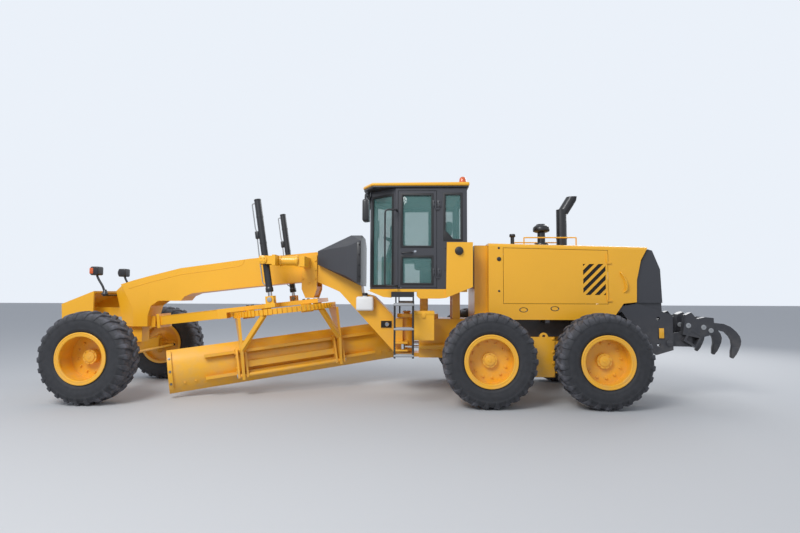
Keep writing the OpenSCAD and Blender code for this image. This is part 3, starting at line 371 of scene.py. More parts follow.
outer = TYRE_Y + 0.46 * 0.445
RING = [(0.357, -0.014), (0.357, 0.002), (0.35, 0.006), (0.338, 0.004), (0.334, -0.004), (0.318, -0.006),
        (0.312, -0.001), (0.302, -0.003), (0.296, -0.012), (0.296, -0.03), (0.312, -0.034), (0.316, -0.014)]
for wheel, x, sign in WHEELS:
    body, out, front = "wheel_" + wheel, (0, sign, 0), x == AXLE_X
    ring = [(r, outer + y) for r, y in RING]
    settled(turned("lock_ring_" + wheel, ring, (x, 0, HUB_Z), out, 96), body, *YELLOW)
    disc = TYRE_Y - (0.095 if front else 0.0)
    spots = ring_spots((x, sign * disc, HUB_Z), out, 0.222 if front else 0.235, 12, 0.13)
    settled(hex_heads("wheel_nuts_" + wheel, spots, out, 0.015, 0.022), body, *YELLOW)
    face = disc + 0.001 + (0.09 if front else 0.05)
    cover = [(0, face - 0.004), (0.071, face - 0.004), (0.074, face + 0.001), (0.072, face + 0.01),
             (0.064, face + 0.014), (0.026, face + 0.015), (0.022, face + 0.021), (0, face + 0.022)]
    settled(turned("hub_cap_" + wheel, cover, (x, 0, HUB_Z), out, 48, 35), body, *YELLOW)
    spots = ring_spots((x, sign * face, HUB_Z), out, 0.088, 8)
    settled(hex_heads("hub_bolts_" + wheel, spots, out, 0.007, 0.009), body, *YELLOW)


# The cab is a welded tube frame glazed all round with green-tinted safety glass set in black rubber. Panes
# sit in the frame's openings; the two in each door swing with it, and a black band hides their glued edge.
def block(name, lo, hi, bevel=0.006, segments=3):
    """A block from its lowest to its highest corner, with every edge rounded."""
    piece = added("cube", name, size=1, location=(Vector(lo) + Vector(hi)) / 2)
    piece.scale = Vector(hi) - Vector(lo)
    bpy.ops.object.transform_apply(location=True, rotation=True, scale=True)
    edit()
    bpy.ops.mesh.bevel(offset=bevel, segments=segments, profile=0.5)
    bpy.ops.object.mode_set(mode="OBJECT")
    return smooth(piece, 40)


def outline(name, corners, thick, rim=None, bevel=0.003):
    """A flat plate on its corners, given thickness to both sides; with rim, only a frame that wide."""
    piece = added("circle", name, vertices=len(corners), fill_type="NGON")
    for vert, spot in zip(piece.data.vertices, corners):
        vert.co = spot
    if rim:
        edit()
        bpy.ops.mesh.inset(thickness=rim)
        bpy.ops.mesh.delete(type="FACE")
        bpy.ops.object.mode_set(mode="OBJECT")
    applied(piece, "SOLIDIFY", thickness=thick, offset=0)
    applied(piece, "BEVEL", width=bevel, segments=2, angle_limit=math.radians(50))
    edit()
    turn_out()
    return smooth(piece, 40)


def upright(start, end, z0, z1):
    """Corners of an upright rectangle between two places on the plan."""
    return [(*start, z0), (*end, z0), (*end, z1), (*start, z1)]


def plain_coat(name, colour, rough, metal=0.0, scale=40.0, depth=0.12, fade=0.15):
    """A dull or metallic finish with a fine grain and a slow change of shade."""
    mat, tree, shader = new_material(name)
    _, cloud, tone = drifting(tree, colour, fade, scale, 5)
    wired(shader, {"Base Color": tone, "Roughness": rough, "Metallic": metal,
                   "Normal": node(tree, "Bump", {"Strength": depth, "Distance": 0.002, "Height": cloud})})
    return mat


glass, tree, shader = new_material("tinted_glass")
haze = noise(tree, node(tree, "TexCoord", output="Object"), 2.2)
tint = node(tree, "Mix", {"A": (0.1, 0.25, 0.235, 1), "B": (0.18, 0.36, 0.34, 1), "Factor": haze},
            data_type="RGBA")
wired(shader, {"Base Color": tint, "Alpha": 0.33, "Roughness": 0.03, "IOR": 1.6})
glass.surface_render_method = "BLENDED"
finish_nodes("cab_glass", glass)
rubber_seal = plain_coat("window_rubber", (0.01, 0.01, 0.011), 0.55, scale=120)
TRIM = ("cab_trim", rubber_seal)

REAR, FRONT = "rear_half", "front_half"
HINGE_X, CAB_HALF = -0.2125, 0.76
POST_X, FRONT_X, FRONT_HALF, REAR_X = HINGE_X + 0.15, HINGE_X + 0.55, 0.39, HINGE_X - 0.88
DOOR_X0, DOOR_X1 = HINGE_X - 0.445, HINGE_X + 0.119
# heights of the tall panes' foot, of the rear panes' foot, and of the top of both
LOW_SILL, HIGH_SILL, HEAD = 1.632, 2.292, 2.998
for side, sign in SIDES:
    x0, x1 = DOOR_X0 + 0.048, DOOR_X1 - 0.038
    inner, y = sign * (CAB_HALF - 0.02), sign * (CAB_HALF - 0.006)
    for part, z0, z1 in (("upper", 2.193, 2.991), ("lower", 1.654, 2.087)):
        pane = upright((x0 + 0.012, inner), (x1 - 0.012, inner), z0 + 0.012, z1 - 0.012)
        pane = outline("door_glass_%s_%s" % (part, side), pane, 0.006, bevel=0.001)
        settled(pane, "cab_door_" + side, "cab_glass", glass)
        seal = upright((x0, y), (x1, y), z0, z1)
        seal = outline("door_seal_%s_%s" % (part, side), seal, 0.02, 0.034, 0.004)
        settled(seal, "cab_door_" + side, *TRIM)
    seal = upright((REAR_X + 0.062, y), (HINGE_X - 0.537, y), HIGH_SILL, HEAD)
    settled(outline("quarter_seal_" + side, seal, 0.02, 0.034, 0.004), REAR, *TRIM)
    along = Vector((POST_X - FRONT_X, CAB_HALF - FRONT_HALF)).normalized()
    near, far = (Vector((FRONT_X, FRONT_HALF)) + along * reach for reach in (0.038, 0.497))
    seal = upright((near.x, sign * near.y), (far.x, sign * far.y), LOW_SILL, HEAD)
    settled(outline("corner_seal_" + side, seal, 0.014, 0.032, 0.004), REAR, *TRIM)
for name, x, half, sill in (("front_seal", FRONT_X, 0.348, LOW_SILL),
                            ("rear_seal", REAR_X, 0.628, HIGH_SILL)):
    seal = outline(name, upright((x, -half), (x, half), sill, HEAD), 0.014, 0.03, 0.004)
    settled(seal, REAR, *TRIM)


# The roof is a moulded yellow skin with a second layer inside it, and falls a little to its front edge. Under
# its rim runs a black gutter, and the cab's ceiling has a grey lining.
RIM = [(0.652, -0.52), (0.652, 0.52), (0.5, 0.8), (-0.916, 0.8), (-0.916, -0.8), (0.5, -0.8)]
CEILING = [(0.592, -0.42), (0.592, 0.42), (0.2, 0.8), (-0.916, 0.8), (-0.916, -0.8), (0.2, -0.8)]


def deck(name, plan, shrink, z0, z1, bevel, segments=3, fall=0.0):
    """A plate on its plan from z0 to z1, its front edge lowered by fall."""
    piece = added("circle", name, vertices=6, fill_type="NGON")
    for vert, (x, y) in zip(piece.data.vertices, plan):
        vert.co = (HINGE_X + x - math.copysign(shrink, x), y - math.copysign(shrink, y), z0)
    edit()
    bpy.ops.mesh.extrude_region_move(TRANSFORM_OT_translate={"value": (0, 0, z1 - z0)})
    turn_out()
    rear, length = HINGE_X - 0.916, 1.568
    for vert in piece.data.vertices:
        if vert.co.z > (z0 + z1) / 2:
            vert.co.z -= fall * (vert.co.x - rear) / length
    applied(piece, "BEVEL", width=bevel, segments=segments, angle_limit=math.radians(20))
    return smooth(piece, 50)


roof = deck("roof_skin", RIM, 0.0, 3.0953, 3.1503, 0.02, 4, fall=0.012)
layer = deck("roof_crown", RIM, 0.115, 3.125, 3.1502, 0.018, 4, fall=0.012)
settled(joined([roof, layer], "roof_skin"), REAR, *YELLOW, "cab_roof")
settled(deck("roof_gutter", RIM, 0.012, 3.0705, 3.0975, 0.007), REAR, *BLACK, "cab_roof")
settled(deck("roof_lining", CEILING, 0.105, 3.02, 3.069, 0.012), REAR, "cab_trim",
        plain_coat("grey_lining", (0.11, 0.115, 0.12), 0.85, scale=200))


# A grab bar of black tube stands off each front post, and a mirror hangs from an arm at each front corner.
# Under the roof's front edge sit two work lamps, and the orange beacon is bolted to its rear left.
def tube(name, points, radius, bend=0.03, sides=12):
    """A round bar or pipe along its points, each inner corner rounded by bend."""
    points = [Vector(p) for p in points]
    path = [points[0]]
    for before, here, after in zip(points, points[1:], points[2:]):
        enter = here + (before - here).normalized() * min(bend, (before - here).length * 0.48)
        leave = here + (after - here).normalized() * min(bend, (after - here).length * 0.48)
        path += [enter.lerp(here, t).lerp(here.lerp(leave, t), t) for t in (0, 0.2, 0.4, 0.6, 0.8, 1)]
    path.append(points[-1])
    select()
    bpy.ops.curve.primitive_bezier_curve_add()
    curve = bpy.context.object.data
    curve.splines.clear()
    spline = curve.splines.new("POLY")
    spline.points.add(len(path) - 1)
    for dot, spot in zip(spline.points, path):
        dot.co = (*spot, 1)
    curve.bevel_depth = radius
    curve.bevel_resolution = sides // 2 - 2
    curve.use_fill_caps = True
    bpy.ops.object.convert(target="MESH")
    piece = bpy.context.object
    piece.name = name
    edit()
    turn_out(0.00005)
    return smooth(piece, 50)


def lens_coat(name, colour, glow=0.0):
    """Moulded lamp plastic with fine flutes in it."""
    mat = plain_coat(name, colour, 0.16, scale=25, depth=0.04, fade=0.08)
    wired(mat.node_tree.nodes["Principled BSDF"], {"Coat Weight": 0.6, "Coat Roughness": 0.05,
                                                   "Emission Color": [*colour, 1], "Emission Strength": glow})
    return mat


mirror_face = plain_coat("mirror_face", (0.55, 0.58, 0.62), 0.06, metal=1.0, scale=3, depth=0.0, fade=0.02)
clear_lens = lens_coat("clear_lens", (0.62, 0.63, 0.64))
amber_lens = lens_coat("amber_lens", (0.62, 0.105, 0.016), 0.03)
BRIGHT, CLEAR, AMBER = ("chrome_rod", mirror_face), ("cab_glass", clear_lens), ("cab_glass", amber_lens)
BAR_Y, ARM_X = 0.865, 0.3575
grab = tube("grab_bar_left", [(-0.0785, 0.758, 2.735), (-0.0785, BAR_Y, 2.735), (0.0875, BAR_Y, 2.735),
                              (0.0875, BAR_Y, 1.645), (-0.0785, BAR_Y, 1.645), (-0.0785, 0.758, 1.645)],
            0.013, 0.05)
arm = tube("mirror_arm_left", [(ARM_X, 0.4, 3.069), (ARM_X, 0.4, 2.932), (ARM_X, 1.015, 2.932),
                               (ARM_X, 1.015, 2.84)], 0.011, 0.06)
mirror = joined([block("mirror_left", (0.304, 0.925, 2.536), (0.392, 1.105, 2.848), 0.03, 5),
                 block("mirror_rim", (0.298, 0.93, 2.541), (0.316, 1.1, 2.843), 0.008, 2)], "mirror_left")
face = block("mirror_glass_left", (0.2955, 0.94, 2.551), (0.3, 1.09, 2.833), 0.002, 2)
lamp = joined([block("work_lamp_left", (0.345, 0.235, 2.935), (0.425, 0.375, 3.03), 0.018, 4),
               tube("work_lamp_foot", [(0.385, 0.305, 3.02), (0.385, 0.305, 3.075)], 0.014)],
              "work_lamp_left")
lens = block("work_lamp_lens_left", (0.422, 0.245, 2.945), (0.431, 0.365, 3.02), 0.004, 2)
for piece, finish in ((grab, BLACK), (arm, BLACK), (mirror, BLACK), (face, ("cab_glass", mirror_face)),
                      (lamp, BLACK), (lens, CLEAR)):
    twin = copied(piece, piece.name.replace("_left", "_right"), Matrix.Scale(-1, 4, ACROSS))
    settled(twin, REAR, *finish, "cab_fittings")
    settled(piece, REAR, *finish, "cab_fittings")
foot = [(0, 3.146), (0.062, 3.146), (0.062, 3.16), (0.056, 3.168), (0, 3.17)]
dome = [(0, 3.168), (0.053, 3.168), (0.054, 3.186), (0.051, 3.222), (0.043, 3.248), (0.026, 3.263),
        (0, 3.268)]
for name, section, finish in (("beacon_foot", foot, BLACK), ("beacon_dome", dome, AMBER)):
    settled(turned(name, section, (-1.046, 0.6, 0), UP, 48), REAR, *finish, "cab_fittings")


# Black trim fills the lower front corner of each rear quarter window. The yellow panel below it has a round
# filler with a screw cap, and small bolts hold the panel's front flange to the cab post.
for side, sign in SIDES:
    y = sign * (CAB_HALF - 0.004)
    corner = [(HINGE_X + x, y, z) for x, z in ((-0.542, 2.3), (-0.7, 2.3), (-0.6, 2.42), (-0.542, 2.455))]
    settled(outline("quarter_corner_" + side, corner, 0.018), REAR, *TRIM)
    cap = [(0, -0.006), (0.06, -0.006), (0.062, 0.004), (0.06, 0.01), (0.05, 0.012), (0.05, 0.034),
           (0.046, 0.042), (0.034, 0.045), (0, 0.046)]
    cap = turned("filler_cap_" + side, cap, (-0.974, sign * (CAB_HALF + 0.03), 2.15), (0, sign, 0), 48)
    settled(cap, REAR, *BLACK)
    spots = [(HINGE_X - 0.565, sign * CAB_HALF, z) for z in (2.195, 1.88, 1.64)]
    settled(hex_heads("panel_bolts_" + side, spots, (0, sign, 0), 0.01, 0.01), REAR, *DARK)


# Each cab door has a pull handle with a push button on its middle rail. Two hinges hold its rear edge, each
# with a leaf bolted on the door and one on the post.
def side_block(name, sign, lo, hi, bevel, segments=2):
    """A block given by its corners on the machine's left, or on its right where sign is -1."""
    y0, y1 = sorted((sign * lo[1], sign * hi[1]))
    return block(name, (lo[0], y0, lo[2]), (hi[0], y1, hi[2]), bevel, segments)


DOOR_HINGES = (1.78, 2.77)
for side, sign in SIDES:
    body, out = "cab_door_" + side, (0, sign, 0)
    grip = [(DOOR_X1 + x, sign * (CAB_HALF + y), z) for x, y, z in (
        (-0.06, -0.004, 2.118), (-0.064, 0.036, 2.12), (-0.205, 0.036, 2.126), (-0.209, -0.004, 2.128))]
    settled(tube("door_pull_" + side, grip, 0.01, 0.02), body, *BLACK)
    button = [(0, -0.004), (0.02, -0.004), (0.02, 0.005), (0.015, 0.008), (0.013, 0.012), (0, 0.013)]
    button = turned("door_button_" + side, button, (DOOR_X1 - 0.25, sign * CAB_HALF, 2.14), out)
    settled(button, body, *BRIGHT)
    for leaf, x0, x1, rides in (("door", DOOR_X0 + 0.024, DOOR_X0 + 0.06, body),
                                ("post", DOOR_X0 - 0.064, DOOR_X0 - 0.008, REAR)):
        leaves = [side_block("leaf", sign, (x0, CAB_HALF - 0.003, z + 0.004),
                             (x1, CAB_HALF + 0.007, z + 0.116), 0.004) for z in DOOR_HINGES]
        settled(joined(leaves, "hinge_%s_leaf_%s" % (leaf, side)), rides, *DARK)
        spots = [((x0 + x1) / 2, sign * (CAB_HALF + 0.007), z + dz)
                 for z in DOOR_HINGES for dz in (0.03, 0.09)]
        settled(hex_heads("%s_leaf_bolts_%s" % (leaf, side), spots, out, 0.0075, 0.007), rides, *BLACK)


# Inside are a seat on a box, a steering column with its wheel, and a console of levers. The seat's foam pads
# have a grey cloth cover that swells between sewn seams, and two flat bars carry its back.
def cushion(name, lo, hi, rounding, seams):
    """A padded block blown up as cloth, then drawn in along seams across its length."""
    piece = block(name, lo, hi, rounding, 4)
    applied(piece, "REMESH", mode="VOXEL", voxel_size=0.012)
    rest = [vert.co.copy() for vert in piece.data.vertices]
    cloth = piece.modifiers.new("cloth", "CLOTH")
    cloth.settings.use_pressure = True
    cloth.settings.uniform_pressure_force = 4
    cloth.settings.effector_weights.gravity = 0
    for step in range(1, 21):
        scene.frame_set(step)
    bpy.context.view_layer.objects.active = piece
    bpy.ops.object.modifier_apply(modifier=cloth.name)
    scene.frame_set(1)
    for vert, spot in zip(piece.data.vertices, rest):
        move = vert.co - spot
        vert.co = spot + move * min(1.0, MOST_SWELL / max(move.length, 1e-6))
    applied(piece, "SUBSURF", levels=1, render_levels=1)
    middle = (Vector(lo) + Vector(hi)) / 2
    half = (Vector(hi) - Vector(lo)) / 2
    longest = max(range(3), key=lambda axis: half[axis])
    thin = min(range(3), key=lambda axis: half[axis])
    for vert in piece.data.vertices:
        spot = [(vert.co[a] - middle[a]) / half[a] for a in range(3)]
        dip = sum(SEAM_DEPTH * math.exp(-((spot[longest] - seam) / 0.045) ** 2) for seam in seams)
        if abs(spot[thin]) > 0.5:
            vert.co[thin] -= math.copysign(dip, spot[thin])
    return smooth(piece, 60)


def in_cab(x, y, z):
    """A place given from the hinge's line and the cab's floor."""
    return (HINGE_X + x, y, 1.6003 + z)


MOST_SWELL, SEAM_DEPTH = 0.016, 0.011
seat_cloth = plain_coat("seat_cloth", (0.035, 0.037, 0.042), 0.9, scale=420, depth=0.5, fade=0.3)
seat_pad = cushion("seat_cushion", in_cab(-0.575, -0.235, 0.325), in_cab(-0.105, 0.235, 0.432),
                   0.03, (-0.45, 0.45))
seat_back = cushion("seat_back", (-0.055, -0.225, 0.0), (0.05, 0.225, 0.64), 0.028, (-0.3, 0.3))
seat_back.data.transform(Matrix.Translation(in_cab(-0.575, 0, 0.435)) @ Matrix.Rotation(-0.14, 4, "Y"))
for pad in (seat_pad, seat_back):
    settled(pad, REAR, "cab_trim", seat_cloth, "cab_interior")
seat_box = [block("seat_box", in_cab(-0.555, -0.175, 0), in_cab(-0.205, 0.175, 0.33), 0.02, 3)]
seat_box += [block("seat_bar", in_cab(-0.597, y - 0.025, 0.29), in_cab(-0.55, y + 0.025, 0.6), 0.004, 2)
             for y in (-0.12, 0.12)]
console = block("front_console", in_cab(0.262, -0.108, 0), in_cab(0.398, 0.108, 0.518), 0.02, 3)
column = tube("steering_column", [in_cab(0.3, 0, 0.5), in_cab(0.203, 0, 0.755)], 0.029)
hub = [(0, -0.014), (0.045, -0.014), (0.048, 0), (0.036, 0.014), (0, 0.018)]
hub = turned("wheel_hub", hub, (0, 0, 0), UP)
grip = [(0.18 + 0.0155 * math.cos(a), 0.0155 * math.sin(a)) for a in [math.tau * k / 12 for k in range(12)]]
spokes = block("wheel_spokes", (-0.17, -0.018, -0.008), (0.17, 0.018, 0.006), 0.005, 2)
helm = joined([hub, turned("wheel_rim", grip, (0, 0, 0), UP, 48), spokes], "steering_wheel")
helm.data.transform(Matrix.Translation(in_cab(0.2, 0, 0.76)) @ Matrix.Rotation(math.radians(-21), 4, "Y"))
for piece in (joined(seat_box, "seat_box"), console, column, helm):
    settled(piece, REAR, *TRIM, "cab_interior")
levers = []
for k in range(8):
    y = 0.03 * (k % 4) + (0.115 if k < 4 else -0.205)
    levers.append(tube("lever", [in_cab(0.33, y * 0.9, 0.48), in_cab(0.255, y, 0.72)], 0.006, sides=8))
    knob = [(0, -0.02), (0.012, -0.018), (0.015, 0.0), (0.011, 0.018), (0, 0.022)]
    levers.append(turned("knob", knob, in_cab(0.251, y, 0.732), UP, 16, 45))
levers.append(block("lever_box", in_cab(0.3, -0.21, 0.44), in_cab(0.372, 0.21, 0.5), 0.01, 2))
settled(smooth(joined(levers, "lever_bank"), 45), REAR, *TRIM)


# The engine hood is pressed sheet on a frame, with one big door each side hung at its rear edge. A black mesh
# backs the louvres, a flat black oval in each lifting hole is painted shade standing for the hole's dark
# hollow, and bolts hold the narrow front column.
TANDEM_X = -2.1175
HOOD_Y = 0.6
black_mesh = plain_coat("black_mesh", (0.008, 0.008, 0.009), 0.85, scale=330, depth=0.7)
MESH = ("black_paint", black_mesh)
for side, sign in SIDES:
    out = (0, sign, 0)
    screen = side_block("louvre_screen_" + side, sign, (TANDEM_X - 1.006, 0.5795, 1.512),
                        (TANDEM_X - 0.664, 0.5885, 1.986), 0.002, 1)
    settled(screen, "hood_door_" + side, *MESH)
    spots = [(-1.572, sign * HOOD_Y, z) for z in (2.208, 1.577)]
    settled(hex_heads("column_bolts_" + side, spots, out, 0.012, 0.01), REAR, *BLACK)
    lock = [(0, -0.004), (0.03, -0.004), (0.032, 0.004), (0.028, 0.01), (0.018, 0.012), (0, 0.012)]
    settled(turned("door_lock_" + side, lock, (-1.573, sign * HOOD_Y, 2.046), out, 40), REAR, *BLACK)
    handle = [(-3.33, -0.003, 1.85), (-3.338, 0.03, 1.842), (-3.4, 0.042, 1.72), (-3.412, 0.034, 1.6),
              (-3.37, -0.003, 1.56)]
    handle = tube("panel_handle_" + side, [(x, sign * (HOOD_Y + y), z) for x, y, z in handle], 0.011, 0.05)
    settled(handle, REAR, *YELLOW)
    for number, (x, z) in (("1", (-1.924, 1.304)), ("2", (-2.376, 1.323))):
        # painted shade: this flat black oval stands in for the dark, shaded hollow of the lifting hole
        hole_shade = [(0, -0.006), (0.03, -0.004), (0.034, 0.002), (0.04, 0.005), (0.043, 0.003), (0.043, -0.003),
                (0, -0.008)]
        hole_shade = turned("lifting_plug_%s_%s" % (side, number), hole_shade, (0, 0, 0), out, 48, None)
        hole_shade.data.transform(Matrix.Translation((x, sign * HOOD_Y, z)) @ Matrix.Diagonal((1.45, 1, 0.82, 1)))
        settled(smooth(hole_shade, 40), REAR, *BLACK)


# The three stacks on the hood are painted sheet. A clamp band holds the exhaust, whose tail end is open. The
# intake has a rubber collar round its foot and a brim round its head, and the filler has a round lid.
for name, x, z, section, steps in (
        ("exhaust_clamp", -0.545, 2.42, [(0.079, -0.016), (0.084, -0.018), (0.086, -0.01), (0.086, 0.01),
                                          (0.084, 0.018), (0.079, 0.016)], 48),
        ("intake_collar", -0.225, 2.305, [(0.059, -0.03), (0.11, -0.03), (0.113, -0.022), (0.11, 0.024),
                                          (0.104, 0.032), (0.059, 0.032)], 48),
        ("intake_brim", -0.225, 0, [(0.059, 2.5), (0.1, 2.512), (0.124, 2.524), (0.129, 2.534),
                                    (0.129, 2.566), (0.122, 2.59), (0.096, 2.616), (0.06, 2.632), (0, 2.64),
                                    (0, 2.5)], 64),
        ("filler_lid", 0.23, 0, [(0, 2.432), (0.04, 2.434), (0.048, 2.442), (0.048, 2.47), (0.042, 2.482),
                                  (0, 2.486)], 48)):
    settled(turned(name, section, (TANDEM_X + x, 0, z), UP, steps, 45), REAR, *BLACK)


# The front frame is a welded box beam. A bead runs along its side under the top flange; the battery cover has
# a black rear flange with bolts; a washer bottle and a recess with a coupling sit on the neck's left side.
AXLE_F = AXLE_X - HINGE_X
SEAM = ((2.545, 2.055), (2.575, 1.965), (AXLE_F - 1.31, 1.885), (AXLE_F - 0.835, 1.822),
        (AXLE_F - 0.33, 1.694), (AXLE_F - 0.01, 1.598))
COVER_Y, NECK_Y = 0.4545, 0.2
for side, sign in SIDES:
    bead = [(HINGE_X + x, sign * NECK_Y, z) for x, z in SEAM]
    settled(tube("beam_seam_" + side, bead, 0.0045, 0.1, 8), FRONT, *YELLOW)
    strip = side_block("cover_flange_" + side, sign, (HINGE_X + 0.688, 0.446, 1.7),
                       (HINGE_X + 0.748, COVER_Y, 2.306), 0.003)
    settled(strip, FRONT, *BLACK)
    spots = [(HINGE_X + 0.712, sign * COVER_Y, z) for z in (2.27, 2.12, 1.96, 1.79)]
    settled(hex_heads("cover_bolts_" + side, spots, (0, sign, 0), 0.01, 0.009), FRONT, *MESH)
bottle = block("washer_bottle", (0.29, 0.2005, 1.27), (0.56, 0.33, 1.488), 0.034, 5)
neck = [(0, 1.47), (0.034, 1.47), (0.034, 1.508), (0, 1.508)]
neck = turned("bottle_neck", neck, (0.428, 0.268, 0), UP, 32, None)
settled(joined([bottle, neck], "washer_bottle"), FRONT, "cab_trim",
        plain_coat("bottle_plastic", (0.78, 0.79, 0.78), 0.42, scale=9, depth=0.05, fade=0.04))
lid = [(0, 1.5), (0.041, 1.5), (0.043, 1.506), (0.043, 1.536), (0.038, 1.543), (0, 1.545)]
settled(turned("bottle_lid", lid, (0.428, 0.268, 0), UP), FRONT, *BLACK)
settled(block("neck_recess", (0.01, 0.1985, 1.000), (0.186, 0.2045, 1.117), 0.003, 2), FRONT, *MESH)
rim = outline("recess_rim", upright((0.004, 0.203), (0.192, 0.203), 0.994, 1.123), 0.008, 0.01, 0.002)
settled(rim, FRONT, *YELLOW)
coupling = [(0, NECK_Y), (0.032, NECK_Y), (0.034, 0.222), (0.028, 0.23), (0.018, 0.23), (0.016, 0.218),
            (0, 0.218)]
settled(turned("coupling", coupling, (0.088, 0, 1.062), ACROSS), FRONT, *BRIGHT)


# Two head lamps stand on bent posts with rubber boots: a black housing, a clear lens in a ring, and an amber
# turn lens that wraps round the outer front corner.
LAMP_X, POST_Y, LENS_Y, LENS_Z = AXLE_X + 0.245, 0.37, 0.365, 1.868
BOOT = [(0, 1.502), (0.047, 1.502), (0.048, 1.512), (0.044, 1.524), (0.036, 1.532), (0.034, 1.545),
        (0.028, 1.556), (0.022, 1.58), (0, 1.584)]
LAMP_RING = [(0.048, 0.212), (0.06, 0.212), (0.062, 0.22), (0.06, 0.231), (0.055, 0.232), (0.05, 0.224),
             (0.048, 0.22)]
for side, sign in SIDES:
    parts = [side_block("lamp_foot", sign, (LAMP_X - 0.0165, 0.0, 1.48), (LAMP_X + 0.04, 0.39, 1.504), 0.004),
             turned("lamp_boot", BOOT, (LAMP_X + 0.012, sign * POST_Y, 0), UP),
             tube("lamp_post", [(LAMP_X + x, sign * POST_Y, z) for x, z in (
                 (0.01, 1.5), (0.04, 1.62), (0.125, 1.745), (0.15, 1.815))], 0.0165, 0.08),
             side_block("lamp_head", sign, (LAMP_X + 0.09, 0.29, 1.8), (LAMP_X + 0.22, 0.44, 1.935),
                        0.024, 5),
             turned("lamp_ring", LAMP_RING, (LAMP_X, sign * LENS_Y, LENS_Z), (1, 0, 0), 48)]
    settled(smooth(joined(parts, "head_lamp_" + side), 40), FRONT, *BLACK, "front_lamps")
    lens = [(0, 0.214), (0.0495, 0.214), (0.0495, 0.221), (0.04, 0.226), (0.02, 0.23), (0, 0.2315)]
    lens = turned("head_lens_" + side, lens, (LAMP_X, sign * LENS_Y, LENS_Z), (1, 0, 0), 48)
    settled(lens, FRONT, *CLEAR)
    amber = side_block("turn_lens_" + side, sign, (LAMP_X + 0.164, 0.418, 1.822),
                       (LAMP_X + 0.2245, 0.4445, 1.914), 0.01, 4)
    settled(amber, FRONT, *AMBER)


# Ladder steps are light grey pressed treads with ribs across. The tool box has a lid with a lip and a latch.
tread_grey = plain_coat("tread_grey", (0.34, 0.35, 0.36), 0.62, metal=0.3, scale=180, depth=0.6)
STEEL = ("ladder_steel", tread_grey)
for side, sign in SIDES:
    treads = []
    for z, deep in ((0.68, 0.09), (1.04, 0.12), (1.37, 0.33)):
        treads.append(side_block("tread", sign, (HINGE_X - 0.118, 1.163 - deep, z - 0.003),
                                 (HINGE_X + 0.16, 1.168, z + 0.029), 0.01, 3))
        count = max(2, round(deep / 0.035))
        for k in range(count):
            y = 1.155 - (k + 0.5) * (deep - 0.01) / count
            treads.append(side_block("rib", sign, (HINGE_X - 0.108, y - 0.004, z + 0.026),
                                     (HINGE_X + 0.15, y + 0.004, z + 0.034), 0.003))
    settled(joined(treads, "ladder_treads_" + side), REAR, *STEEL)
lid = block("toolbox_lid", (HINGE_X - 0.405, 0.555, 1.236), (HINGE_X - 0.105, 0.905, 1.289), 0.007, 3)
settled(lid, REAR, *YELLOW)
catch = block("toolbox_catch", (HINGE_X - 0.28, 0.9, 1.19), (HINGE_X - 0.23, 0.913, 1.262), 0.004, 2)
settled(catch, REAR, *YELLOW)


# The blade lift cylinders are black tube with a gland nut below and a welded cap above. One steel pipe runs
# from the valve block up to the top port, one down to the lower port; the chromed rod goes to the drawbar.
# Each cylinder hangs by a trunnion in the saddle, with a bolted cap over it.
PITCH = math.radians(6.5)
BALL = (HINGE_X + AXLE_F - 0.345, 0, 1.075)
CIRCLE_BACK, LIFT_Y, TRUNNION_Z = AXLE_F - 0.345 - 1.93, 0.707, 2.015
on_drawbar = Matrix.Translation(BALL) @ Matrix.Rotation(PITCH, 4, "Y")
chrome = plain_coat("hard_chrome", (0.62, 0.63, 0.65), 0.16, metal=1.0, scale=60, depth=0.02, fade=0.05)
finish_nodes("lift_rod_left lift_rod_right artic_rod_left artic_rod_right ripper_rod", chrome)


def at_turn(matrix, spots):
    """Places given in a tilted frame, as places on the machine."""
    return [matrix @ Vector(spot) for spot in spots]


